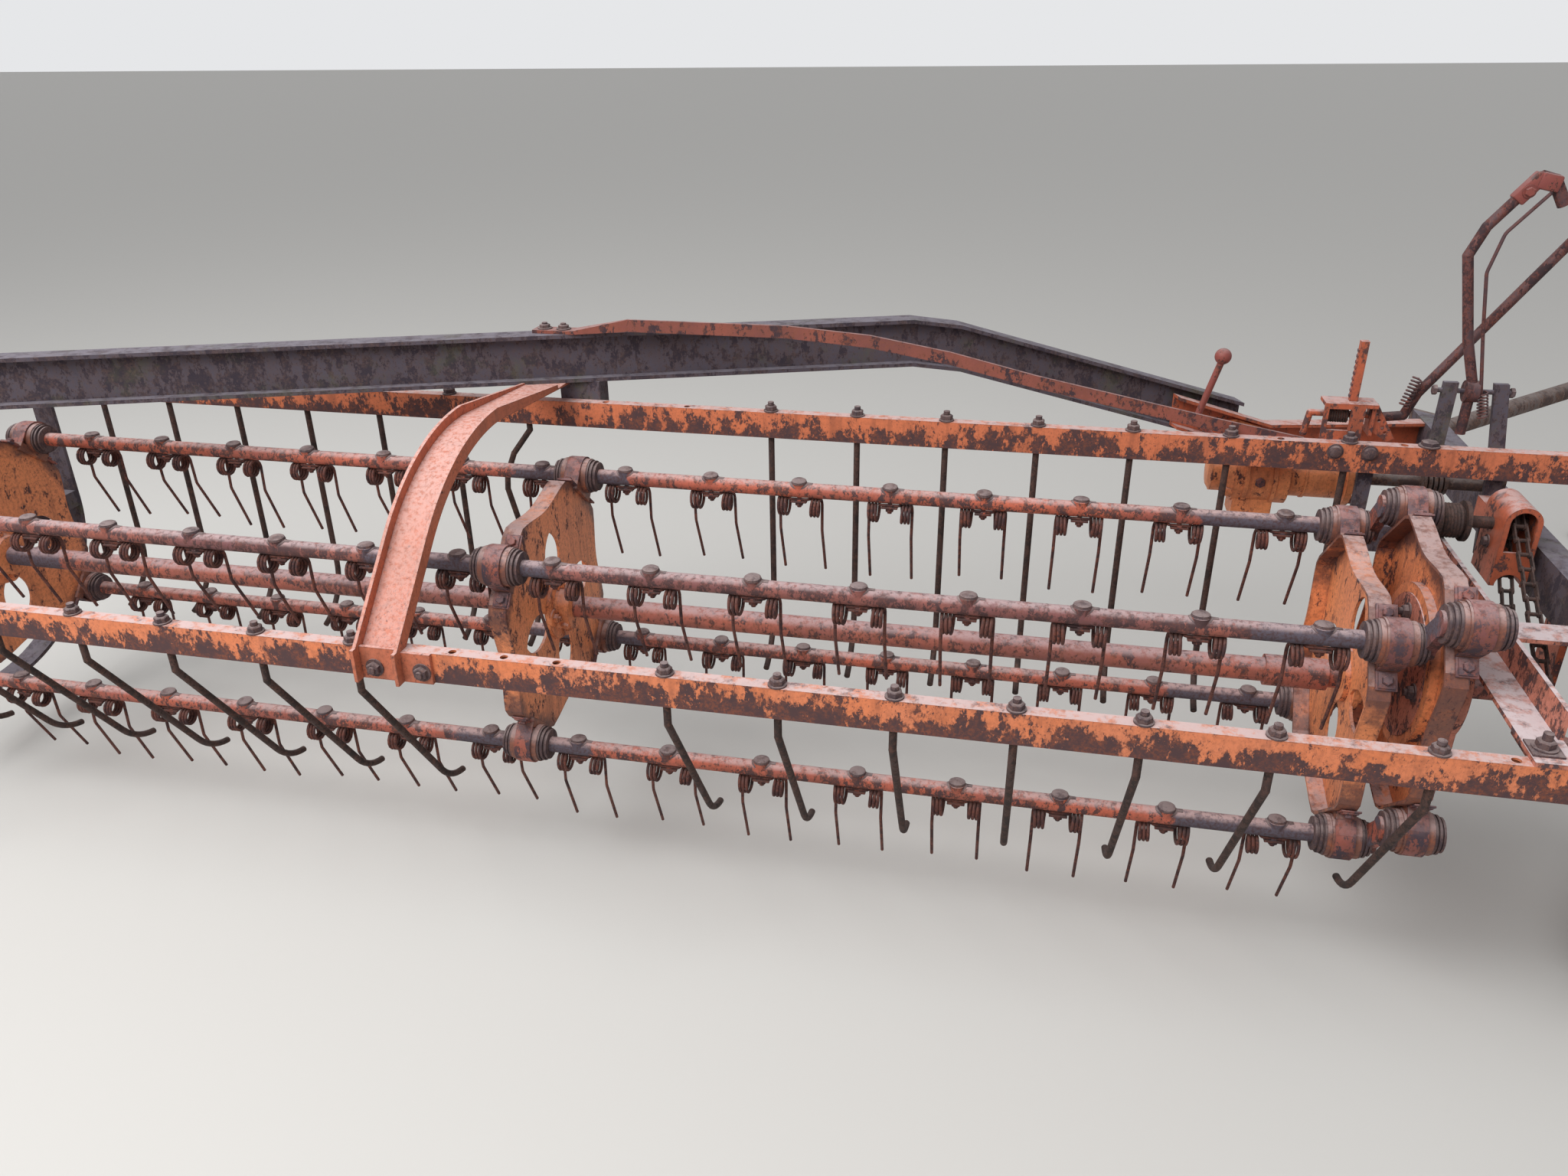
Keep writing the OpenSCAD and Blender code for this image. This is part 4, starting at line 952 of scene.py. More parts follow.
@dataclass
class BarHardware:
    """Round saddle washers bent over the tooth bars, with domed bolt heads."""

    reel: Reel
    saddle_radius: float = 0.0212
    saddle_thick: float = 0.0026
    rings: int = 4
    sides: int = 28
    head_radius: float = 0.0163
    head_height: float = 0.0082
    collar_height: float = 0.0024
    tab: tuple[float, float, float] = (0.017, 0.030, 0.0022)
    tab_half_width: float = 0.005
    tab_droop: float = math.radians(3)
    stray: float = 0.09

    def wrapped(self, across: float, along: float, height: float) -> Vector:
        """Give the place on the bar of a point on the flat plate.

        Args:
            across: Distance across the plate, round the bar.
            along: Distance along the bar.
            height: Height above the plate's foot.

        Returns:
            The place about the bar's axis.
        """
        reach = self.reel.bar_radius + height
        angle = across / (self.reel.bar_radius + self.saddle_thick)
        return Vector((along, reach * math.sin(angle), reach * math.cos(angle)))

    def saddle(self, shape: Shape) -> None:
        """Build a round plate flat, ring within ring, and bend it over the bar.

        Args:
            shape: The shape to add it to, still empty.
        """
        bm, edge_thick, sunk = shape.bm, self.saddle_thick * 0.35, 0.0004
        disc = bmesh.ops.create_circle(bm, cap_ends=False, segments=self.sides, radius=self.saddle_radius)
        verts = disc["verts"]
        bmesh.ops.translate(bm, vec=(0, 0, -sunk), verts=verts)
        rim = list({edge for vert in verts for edge in vert.link_edges})
        shares = [1 - step / (self.rings + 0.6) for step in range(self.rings + 1)]
        for step, share in enumerate(shares):
            made = bmesh.ops.extrude_edge_only(bm, edges=rim)["geom"]
            rim = [item for item in made if isinstance(item, bmesh.types.BMEdge)]
            ring = [item for item in made if isinstance(item, bmesh.types.BMVert)]
            inward = share / (shares[step - 1] if step else 1.0)
            rise = (edge_thick + sunk, self.saddle_thick - edge_thick, 0.0)[min(step, 2)]
            bmesh.ops.scale(bm, vec=(inward, inward, 1.0), verts=ring)
            bmesh.ops.translate(bm, vec=(0, 0, rise), verts=ring)
        bmesh.ops.edgeloop_fill(bm, edges=rim)
        for vert in bm.verts:
            vert.co = self.wrapped(vert.co.y, vert.co.x, vert.co.z)

    def cup(self) -> bpy.types.Mesh:
        """Build one saddle with its bolt head and locking tab, about the bar's axis.

        Returns:
            A mesh to be copied along the bars.
        """
        shape = Shape()
        self.saddle(shape)
        top = self.reel.bar_radius + self.saddle_thick - 0.0006
        shape.cone(Z_AXIS * top, Z_AXIS, self.head_radius + 0.0012, self.head_radius + 0.0004,
                   self.collar_height, 28)
        sunk = self.collar_height - 0.0002
        shape.dome(Z_AXIS * (top + sunk), Z_AXIS, self.head_radius, self.head_height - sunk, 24)
        near, far, thick = self.tab
        shape.block((near, -self.tab_half_width, top - thick), (far, self.tab_half_width, top), 0.0008,
                    Matrix.Rotation(self.tab_droop, 4, "Y"))
        return shape.mesh("saddle_washer")

    def build(self, shop: Workshop) -> None:
        """Copy the saddle along each bar, each turned a little.

        Args:
            shop: Where finishes come from.
        """
        pattern = self.cup()
        for number, letter in enumerate("abcd"):
            chance = random.Random(80 + number)
            shape = Shape()
            for x in self.reel.tine_places():
                sway = Matrix.Rotation(chance.uniform(-self.stray, self.stray), 4, "X")
                place = Matrix.Translation(self.reel.bar_at(number) + X_AXIS * x)
                shape.stamp(pattern, place @ sway)
            shape.publish(f"bar_cups_{letter}", f"bar_{letter}", shop.finish(Paint.BOLT), "rusted_rod")


@dataclass
class LobeBearing:
    """The strap, seal rings and washers of one bearing on a spider's lobe."""

    reel: Reel
    strap_width: float = 0.036
    strap_thick: float = 0.004
    ear_reach: float = 0.078
    ear_bolt: float = 0.061
    washer_half: float = 0.014
    washer_thick: float = 0.003
    ear_nut: tuple[float, float] = (0.0095, 0.007)
    seals: tuple[tuple[float, float], ...] = ((0.0378, 0.0042), (0.0335, 0.003), (0.0362, 0.0042),
                                              (0.0305, 0.003), (0.0325, 0.004))

    def seal_rings(self, shaft: float) -> bpy.types.Mesh:
        """Build the seal rings about the bar's axis, with the lobe's outward direction as +Y.

        Args:
            shaft: Radius of what runs in the bearing.

        Returns:
            A mesh to be copied to each lobe.
        """
        shape = Shape()
        half = self.reel.housing_length / 2
        for side in (-1, 1):
            x = half
            for radius, thick in self.seals:
                shape.disc(X_AXIS * side * x, X_AXIS * side, max(radius, shaft + 0.004), thick, 28)
                x += thick + 0.0004
        return shape.mesh("seal_rings")

    def strap(self) -> bpy.types.Mesh:
        """Build the strap over the housing with its ears, square washers and bolts.

        Returns:
            A mesh to be copied to each lobe.
        """
        shape = Shape()
        inner = self.reel.housing_radius + 0.0002
        seat = self.reel.lobe_radius + 0.0002 - self.reel.bar_circle
        half = self.strap_width / 2
        profile = [Vector((-half, 0, inner)), Vector((half, 0, inner)),
                   Vector((half, 0, inner + self.strap_thick)), Vector((-half, 0, inner + self.strap_thick))]
        face = shape.bm.faces.new([shape.bm.verts.new(c) for c in profile])
        bmesh.ops.spin(shape.bm, geom=[face], cent=(0, 0, 0), axis=X_AXIS, angle=-math.pi, steps=14,
                       use_duplicate=False)
        for side in (-1, 1):
            foot = sorted((side * (inner + 0.0005), side * (inner + self.strap_thick)))
            shape.block((-half, seat, foot[0]), (half, 0.002, foot[1]))
            ear = sorted((side * inner, side * self.ear_reach))
            shape.block((-half, seat, ear[0]), (half, seat + self.strap_thick, ear[1]), 0.001)
            bolt, reach = side * self.ear_bolt, self.washer_half
            low, high = seat + self.strap_thick, seat + self.strap_thick + self.washer_thick
            shape.block((-reach, low - 0.0005, bolt - reach), (reach, high, bolt + reach), 0.0008)
            shape.nut(Vector((0, high, bolt)), Y_AXIS, *self.ear_nut)
        return shape.mesh("bearing_strap")


@dataclass
class Spiders:
    """Fittings of the reel's three spiders and of the control spider."""

    reel: Reel
    hub_bolt_circle: float = 0.056
    hub_radius: float = 0.042
    hub_foot: float = 0.006
    hub_thick: float = 0.012
    ear_radius: float = 0.020
    set_bolts: tuple[float, ...] = (0.6, 0.6 + math.pi)
    ring_bolt_circle: float = 0.101
    drum_bolts: tuple[float, ...] = (1.36, 3.19, 5.24)

    def bearings(self, shop: Workshop, x: float, offset: Vector, body: str, name: str, shaft: float) -> None:
        """Dress the four lobes of one spider.

        Args:
            shop: Where finishes come from.
            x: The spider's place along the reel.
            offset: Its axis from the reel's.
            body: The body that it rides on.
            name: Name for the new pieces.
            shaft: Radius of what runs in its bearings.
        """
        fitting = LobeBearing(self.reel)
        for part, pattern, paint in (("seals", fitting.seal_rings(shaft), Paint.BOLT),
                                     ("straps", fitting.strap(), Paint.HOUSING)):
            shape = Shape()
            for number in range(4):
                out = Matrix.Translation(Vector((x, self.reel.bar_circle, 0)))
                shape.stamp(pattern, Matrix.Translation(offset) @ self.reel.lobe_turn(number) @ out)
            shape.publish(f"{name}_{part}", body, shop.finish(paint), "orange_paint")

    def hub(self, shop: Workshop, x: float, name: str) -> None:
        """Bolt a cast hub to a spider: a lobed flange, a collar and its set bolts.

        Args:
            shop: Where finishes come from.
            x: The spider's place along the reel.
            name: The new piece's name.
        """
        shape = Shape()
        shape.cone(Vector((x + 0.014, 0, 0)), X_AXIS, self.hub_radius + 0.012, self.hub_radius,
                   self.hub_thick, 32)
        for k in range(4):
            angle = self.reel.phase + math.pi / 4 + k * math.pi / 2
            ear = Vector((x + self.hub_foot, 0, 0)) + out_at(angle, self.hub_bolt_circle)
            shape.disc(ear, X_AXIS, self.ear_radius, self.hub_thick, 20)
            shape.nut(ear + X_AXIS * self.hub_thick, X_AXIS, 0.011, 0.009, 0.006)
        for angle in self.set_bolts:
            shape.nut(Vector((x + 0.034, 0, 0)) + out_at(angle, 0.047), out_at(angle), 0.010, 0.009)
        shape.publish(name, "reel", shop.finish(Paint.SPIDER), "orange_paint")

    def build(self, shop: Workshop) -> None:
        """Dress every spider.

        Args:
            shop: Where finishes come from.
        """
        for place, x in zip(("left", "middle", "right"), self.reel.spiders):
            self.bearings(shop, x - 0.004, Vector(), "reel", f"{place}_spider", self.reel.bar_radius)
            self.hub(shop, x, f"{place}_hub")
        self.bearings(shop, self.reel.control_x, self.reel.control_axis, "control", "control_spider", 0.0125)
        shape = Shape()
        face = Vector((self.reel.control_x - 0.018, 0, 0)) + self.reel.control_axis
        for angle in self.drum_bolts:
            out = out_at(angle, self.ring_bolt_circle)
            shape.disc(face + out, -X_AXIS, 0.017, 0.003)
            shape.nut(face + out, -X_AXIS, 0.0135, 0.012, 0.006)
        shape.publish("drum_bolts", "root", shop.finish(Paint.BOLT), "rusted_beam")


# Hardware of the frame

@dataclass(frozen=True)
class Bolt:
    """A bolt head or nut with its washer, seated on a face."""

    at: tuple[float, float, float]
    axis: Vector
    radius: float = 0.012
    height: float = 0.009
    stud: float = 0.0
    washer: float = 0.0
    square_washer: float = 0.0
    domed: bool = False

    def draw(self, shape: Shape) -> None:
        """Add it to a shape, washers first.

        Args:
            shape: The shape to add it to.
        """
        seat = Vector(self.at)
        if self.square_washer > 0:
            half = self.square_washer / 2
            turn = Matrix.Translation(seat) @ laid_along(self.axis)
            shape.block((-half, -half, 0), (half, half, 0.004), 0.0008, turn)
            seat = seat + self.axis * 0.004
        if self.washer > 0:
            shape.disc(seat, self.axis, self.washer, 0.0028, 22)
            seat = seat + self.axis * 0.0028
        if self.domed:
            shape.dome(seat, self.axis, self.radius, self.height)
        else:
            shape.nut(seat, self.axis, self.radius, self.height, self.stud)


# Place, axis, radius, height, stud's length, washer's radius and square washer's width

FRAME_BOLTS = {
    "arm_foot_bolts": [Bolt((x, -0.503, 0.104), -Y_AXIS, 0.0135, 0.009, 0.005, 0.018)
                       for x in (-0.141, -0.046)],
    "front_rail_bolts": [Bolt((x, 0.357, 0.3435), -Y_AXIS, 0.0135, 0.008, washer=0.0165, domed=True)
                         for x in (1.639, 1.707)],
    "post_bolt": [Bolt((1.822, 0.371, 0.3605), Z_AXIS, 0.017, 0.009, washer=0.021)],
    "end_arm_bolt": [Bolt((1.819, -0.456, 0.1485), Z_AXIS, 0.0145, 0.012, 0.012, 0.019, 0.046)],
    "end_arm_front_bolt": [Bolt((1.826, 0.352, 0.1485), Z_AXIS, 0.0135, 0.010, 0.006, 0.018)],
    "brace_bolts": [Bolt((x, 0.387, 0.528), Z_AXIS, 0.0125, 0.008, 0.004, 0.017) for x in (-0.135, -0.088)],
    "hoop_bolts": [Bolt((-1.615, y, z), Z_AXIS, 0.0125, 0.009, 0.006, 0.017)
                   for y, z in ((-0.481, 0.1405), (0.371, 0.3605))],
    "bracket_bolts": [Bolt((x, 0.391, 0.476), X_AXIS * side, 0.0105, 0.008)
                      for x, side in ((1.816, -1), (1.954, 1))],
    "hood_bolts": [Bolt((1.977 + 0.034 * side, 0.278, 0.196), X_AXIS * side, 0.010, 0.007, washer=0.014)
                   for side in (-1, 1)],
    "bearing_plate_bolts": [Bolt((2.018, 0.520 + dy, 0.230 + dz), -X_AXIS, 0.0095, 0.008, washer=0.013)
                            for dy in (-0.030, 0.030) for dz in (-0.030, 0.030)],
    "wheel_leg_bolts": [Bolt((2.094, y, 0.165), X_AXIS, 0.0145, 0.011, 0.006, 0.020) for y in (0.182, 0.228)],
}


@dataclass
class FrameBolts:
    """Draws every group of bolts on the fixed frame."""

    groups: dict[str, list[Bolt]] = field(default_factory=lambda: FRAME_BOLTS)

    def build(self, shop: Workshop) -> None:
        """Publish each group as one piece.

        Args:
            shop: Where finishes come from.
        """
        for name, bolts in self.groups.items():
            shape = Shape()
            for bolt in bolts:
                bolt.draw(shape)
            shape.publish(name, "root", shop.finish(Paint.BOLT), "rusted_beam")


@dataclass
class RailHardware:
    """Washers, nuts and stud ends on top of the stripper rods."""

    first: float = 0.0085
    pitch: float = 0.203
    steps: tuple[int, ...] = (-7, -6, -5, -4, -3, -2, -1, 2, 3, 4, 5, 6, 7)
    last: float = 1.667
    rails: tuple[tuple[str, float, float], ...] = (("rear", -0.481, 0.1405), ("front", 0.371, 0.3605))
    washer: float = 0.0168
    nut: float = 0.0139

    def build(self, shop: Workshop) -> None:
        """Seat a nut on each rod of both rails, each at its own turn.

        Args:
            shop: Where finishes come from.
        """
        for name, y, top in self.rails:
            chance = random.Random(len(name))
            shape = Shape()
            for x in [self.first + k * self.pitch for k in self.steps] + [self.last]:
                turn = Matrix.Rotation(chance.uniform(0, 1.05), 4, "Z")
                seat = Matrix.Translation(Vector((x, y, top))) @ turn
                part = Shape()
                part.disc(Vector(), Z_AXIS, self.washer, 0.0031, 24)
                part.nut(Z_AXIS * 0.003, Z_AXIS, self.nut, 0.0112, 0.008)
                shape.stamp(part.mesh("rod_nut"), seat)
            shape.publish(f"{name}_rod_nuts", "root", shop.finish(Paint.BOLT), "rusted_beam")


@dataclass
class GearCaseFittings:
    """Cover, bands, plug and bolts of the gear case, about its shaft's axis."""

    axis_at: Vector = field(default_factory=lambda: Vector((1.468, 0.520, 0.230)))
    barrel_radius: float = 0.066
    cover_radius: float = 0.061
    cap_reach: float = 0.048
    cap_radius: float = 0.046
    flange_x: float = 0.250
    bolt_circle: float = 0.054
    boss_angles: tuple[float, ...] = (math.pi / 2, math.radians(215), math.radians(325))

    def ring(self, shape: Shape, x: float, angles: tuple[float, ...], side: int, size: float) -> None:
        """Place bolts on the circle about the axis, facing along it.

        Args:
            shape: The shape to add them to.
            x: Their seat's place along the axis.
            angles: Where they sit on the circle.
            side: 1 or -1, the way they face.
            size: Radius of each head.
        """
        for angle in angles:
            at = self.axis_at + X_AXIS * x + out_at(angle, self.bolt_circle)
            Bolt(tuple(at), X_AXIS * side, size, size * 0.75).draw(shape)

    def build(self, shop: Workshop) -> None:
        """Dress the case in its paint, made lighter as painted light, and its bolts in theirs.

        Args:
            shop: Where finishes come from.
        """
        case, bolts = Shape(), Shape()
        case.cone(self.axis_at - X_AXIS * 0.014, X_AXIS, self.cover_radius - 0.004, self.cover_radius,
                  0.015, 40)
        case.cone(self.axis_at - X_AXIS * (self.cap_reach + 0.007), X_AXIS, self.cap_radius - 0.012,
                  self.cap_radius, 0.008, 36)
        for x in (0.040, 0.066):
            case.disc(self.axis_at + X_AXIS * x, X_AXIS, self.barrel_radius + 0.0012, 0.004, 48)
        case.disc(self.axis_at + X_AXIS * 0.150, X_AXIS, 0.0505, 0.006, 40)
        for angle in self.boss_angles:
            boss = self.axis_at - X_AXIS * 0.020 + out_at(angle, self.bolt_circle)
            case.disc(boss, X_AXIS, 0.013, 0.020, 20)
        corners = tuple(math.pi / 4 + k * math.pi / 2 for k in range(4))
        self.ring(bolts, -0.020, self.boss_angles, -1, 0.0105)
        self.ring(bolts, self.flange_x, corners, 1, 0.0095)
        plug = self.axis_at + X_AXIS * 0.053
        bolts.nut(plug - Y_AXIS * self.barrel_radius, -Y_AXIS, 0.0115, 0.008)
        case.publish("case_cover", "root", shop.finish(Paint.CASE_WITH_PAINTED_LIGHT), "orange_paint")
        bolts.publish("case_bolts", "root", shop.finish(Paint.HOUSING), "orange_paint")


@dataclass
class BeamArmPad:
    """The raised oblong pad with its bolt on the face of the beam's arm."""

    foot: Vector = field(default_factory=lambda: Vector((-0.060, 0.401, 0)))
    yaw: float = math.radians(20)
    along: float = 1.702
    face: float = -0.036
    height: float = 0.196
    fall: float = math.radians(18.3)
    length: float = 0.112
    width: float = 0.046

    def build(self, shop: Workshop) -> None:
        """Lay the pad along the arm's own slope.

        Args:
            shop: Where finishes come from.
        """
        place = (Matrix.Translation(self.foot) @ Matrix.Rotation(self.yaw, 4, "Z")
                 @ Matrix.Translation(Vector((self.along, self.face, self.height)))
                 @ Matrix.Rotation(self.fall, 4, "Y"))
        pad, half = Shape(), self.width / 2
        reach = self.length / 2 - half
        pad.block((-reach, -0.009, -half), (reach, 0.0, half), 0.0, place)
        out = place.to_3x3() @ -Y_AXIS
        for side in (-1, 1):
            pad.disc(place @ (X_AXIS * reach * side), out, half, 0.009, 28)
        # The pad takes the gear case's orange, made lighter as painted light.
        pad.publish("arm_pad", "root", shop.finish(Paint.CASE_WITH_PAINTED_LIGHT), "orange_paint")
        bolt = Shape()
        Bolt(tuple(place @ Vector((0, -0.009, 0))), out, 0.011, 0.008, domed=True).draw(bolt)
        bolt.publish("arm_pad_bolt", "root", shop.finish(Paint.BOLT), "rusted_beam")


@dataclass
class Coil:
    """A helical spring between two points."""

    start: Vector
    end: Vector
    radius: float
    wire: float
    turns: int
    steps: int = 12

    def draw(self, shape: Shape) -> None:
        """Wind the spring into a shape.

        Args:
            shape: The shape to add it to.
        """
        along = self.end - self.start
        out = laid_along(along).to_3x3() @ X_AXIS
        wire = Wire(shape, self.start + out * self.radius, along.normalized().cross(out), self.wire, 6)
        wire.turn(self.start, along, self.turns * 2 * math.pi, self.turns * self.steps, along.length)
        wire.cap()


@dataclass
class Adjuster:
    """The screw adjuster's spring, the notches of its rod and its crank's end."""

    screw: Vector = field(default_factory=lambda: Vector((1.622, 0.415, 0.4085)))
    spring_length: float = 0.040
    rod_at: Vector = field(default_factory=lambda: Vector((1.660, 0.415, 0.446)))
    notches: int = 9
    notch_pitch: float = 0.012

    def build(self, shop: Workshop) -> None:
        """Wind the spring and cut the notched edge.

        Args:
            shop: Where finishes come from.
        """
        spring = Shape()
        Coil(self.screw, self.screw + X_AXIS * self.spring_length, 0.0165, 0.0022, 8).draw(spring)
        spring.publish("adjuster_spring", "root", shop.finish(Paint.ROD), "rusted_rod")
        rod = Shape()
        for k in range(self.notches):
            foot = self.rod_at + Z_AXIS * k * self.notch_pitch
            low, high = foot - Vector((0.002, 0.006, 0)), foot + Vector((0.0, 0.006, 0.006))
            rod.block(tuple(low), tuple(high), 0.0004)
        crank = self.screw + Vector((-0.040, 0, -0.044))
        rod.cone(crank, -Z_AXIS, 0.0078, 0.006, 0.006, 16)
        rod.publish("adjuster_notches", "root", shop.finish(Paint.HOUSING), "orange_paint")


@dataclass
class HandLevers:
    """Latch rod, springs and forged grip of the two hand levers."""

    latch_top: Vector = field(default_factory=lambda: Vector((1.930, 0.380, 0.866)))
    latch_path: tuple[tuple[float, float, float], ...] = ((1.868, 0.380, 0.790), (1.852, 0.380, 0.715),
                                                         (1.872, 0.380, 0.600), (1.897, 0.380, 0.474))
    latch_radius: float = 0.0036
    spring_radius: float = 0.0095

    def build(self, shop: Workshop) -> None:
        """Run the latch rod down the tilt lever, with its spring, and bolt on the grip.

        Args:
            shop: Where finishes come from.
        """
        rods = Shape()
        wire = Wire(rods, self.latch_top, Vector(self.latch_path[0]) - self.latch_top, self.latch_radius)
        wire.route(list(self.latch_path), 0.03)
        wire.cap()
        for top, foot, wire_radius, turns in (((1.899, 0.380, 0.478), (1.911, 0.380, 0.425), 0.0018, 8),
                                              ((1.790, 0.436, 0.488), (1.774, 0.436, 0.424), 0.0020, 9)):
            Coil(Vector(top), Vector(foot), self.spring_radius, wire_radius, turns).draw(rods)
        rods.publish("latch_rods", "root", shop.finish(Paint.LEVER), "rusted_rod")
        grip = Shape()
        slope = Matrix.Translation(Vector((1.914, 0.391, 0.888))) @ Matrix.Rotation(math.radians(12), 4, "Y")
        grip.block((-0.010, -0.015, -0.018), (0.030, 0.015, 0.013), 0.005, slope)
        spine = Matrix.Translation(Vector((1.893, 0.391, 0.872))) @ Matrix.Rotation(math.radians(-52), 4, "Y")
        grip.block((-0.030, -0.013, -0.013), (0.030, 0.013, 0.013), 0.004, spine)
        Bolt((1.890, 0.378, 0.867), -Y_AXIS, 0.009, 0.007, washer=0.012).draw(grip)
        grip.publish("lever_grip", "root", shop.finish(Paint.GRIP), "rusted_rod")


@dataclass
class RopeSpool:
    """The rope wound on the idler shaft's spool."""

    centre: Vector = field(default_factory=lambda: Vector((1.840, 0.278, 0.236)))
    core: float = 0.029
    rope: float = 0.0037
    width: float = 0.045

    def build(self, shop: Workshop) -> None:
        """Wind the rope between the spool's flanges.

        Args:
            shop: Where finishes come from.
        """
        shape = Shape()
        turns = int(self.width / (2 * self.rope))
        start = self.centre + X_AXIS * self.rope
        end = start + X_AXIS * (self.width - 2 * self.rope)
        Coil(start, end, self.core + self.rope, self.rope, turns, steps=24).draw(shape)
        shape.publish("wound_rope", "root", shop.finish(Paint.ROD), "rusted_rod")


@dataclass
class WheelFittings:
    """Hub caps, wheel nuts and axle nuts, with their valve."""

    main_centre: Vector
    castor_centre: Vector
    axle: Vector = field(default_factory=lambda: AXLE.copy())
    nut_circle: float = 0.074
    nuts: int = 5
    valve_angle: float = 2.2
    disc_face: float = 0.012
    fork_face: float = 0.091

    def build(self, shop: Workshop) -> None:
        """Bolt the main wheel to its hub and fasten the castor's axle.

        Args:
            shop: Where finishes come from.
        """
        turn = laid_along(self.axle).to_3x3()
        hub = Shape()
        for k in range(self.nuts):
            angle = k * 2 * math.pi / self.nuts + 0.3
            out = turn @ Vector((math.cos(angle), math.sin(angle), 0)) * self.nut_circle
            seat = self.main_centre + out + self.axle * self.disc_face
            Bolt(tuple(seat), self.axle, 0.0125, 0.011, 0.006).draw(hub)
        hub.dome(self.main_centre + self.axle * 0.0495, self.axle, 0.036, 0.022, 28)
        valve = turn @ Vector((math.cos(self.valve_angle), math.sin(self.valve_angle), 0))
        hub.disc(self.main_centre + valve * 0.160 + self.axle * 0.050, valve, 0.0045, 0.022, 10)
        hub.publish("main_hub_nuts", "main_wheel", shop.finish(Paint.BOLT), "rusted_beam")
        axle = Shape()
        for side in (-1, 1):
            out = self.axle * side
            Bolt(tuple(self.castor_centre + out * self.fork_face), out, 0.019, 0.011, washer=0.024).draw(axle)
        axle.publish("castor_axle_nuts", "castor", shop.finish(Paint.BOLT), "rusted_beam")


# The wheels

@dataclass
class TreadedTyre:
    """A ribbed implement tyre about its own axle."""

    name: str
    node: str
    body: str
    centre: Vector
    radius: float
    width: float
    bead: float
    bead_width: float
    ribs: int = 5
    groove: float = 0.007
    crown_drop: float = 0.012
    rib_slope: float = 0.002
    axle: Vector = field(default_factory=lambda: AXLE.copy())
    segments: int = 64

    def crown(self, across: float, span: float) -> float:
        """Give the crown's radius this far from the middle."""
        return self.radius - self.crown_drop * (across / span) ** 2

    def section(self) -> list[tuple[float, float]]:
        """Give the tyre's section as (across, radius) from one bead to the other.

        Returns:
            Pairs of distance across and radius.
        """
        half, reach = self.width / 2, self.radius - self.bead
        side = [(self.bead_width / 2, 0.0), (self.bead_width / 2 + 0.002, 0.10), (half * 0.93, 0.3),
                (half, 0.52), (half * 0.97, 0.74), (half * 0.88, 0.9), (half * 0.78, 0.965)]
        wall = [(x, self.bead + reach * share) for x, share in side]
        tread, span, slope = [], half * 0.78, self.rib_slope
        for k in range(self.ribs):
            left = -span + 2 * span * (k + 0.12) / self.ribs
            right = -span + 2 * span * (k + 0.88) / self.ribs
            high_left, high_right = self.crown(left, span), self.crown(right, span)
            tread += [(left + slope, high_left - self.groove), (left + 2 * slope, high_left),
                      (right - 2 * slope, high_right), (right - slope, high_right - self.groove)]
        return [(-x, r) for x, r in wall] + tread + [(x, r) for x, r in reversed(wall)]

    def build(self, shop: Workshop) -> None:
        """Spin the section into a tyre that stands for the plain one.

        Args:
            shop: Where finishes come from.
        """
        shape = Shape()
        turn = laid_along(self.axle)
        verts = [shape.bm.verts.new(turn @ Vector((r, 0, x))) for x, r in self.section()]
        face = shape.bm.faces.new(verts)
        edges = face.edges[:]
        bmesh.ops.delete(shape.bm, geom=[face], context="FACES_ONLY")
        bmesh.ops.spin(shape.bm, geom=edges, cent=(0, 0, 0), axis=self.axle, angle=2 * math.pi,
                       steps=self.segments, use_merge=True, use_duplicate=False)
        bmesh.ops.remove_doubles(shape.bm, verts=shape.bm.verts[:], dist=1e-5)
        bmesh.ops.translate(shape.bm, vec=self.centre, verts=shape.bm.verts[:])
        shape.publish(self.name, self.body, shop.finish(Paint.RUBBER), "tyre_rubber", (self.node,))


# Camera and light

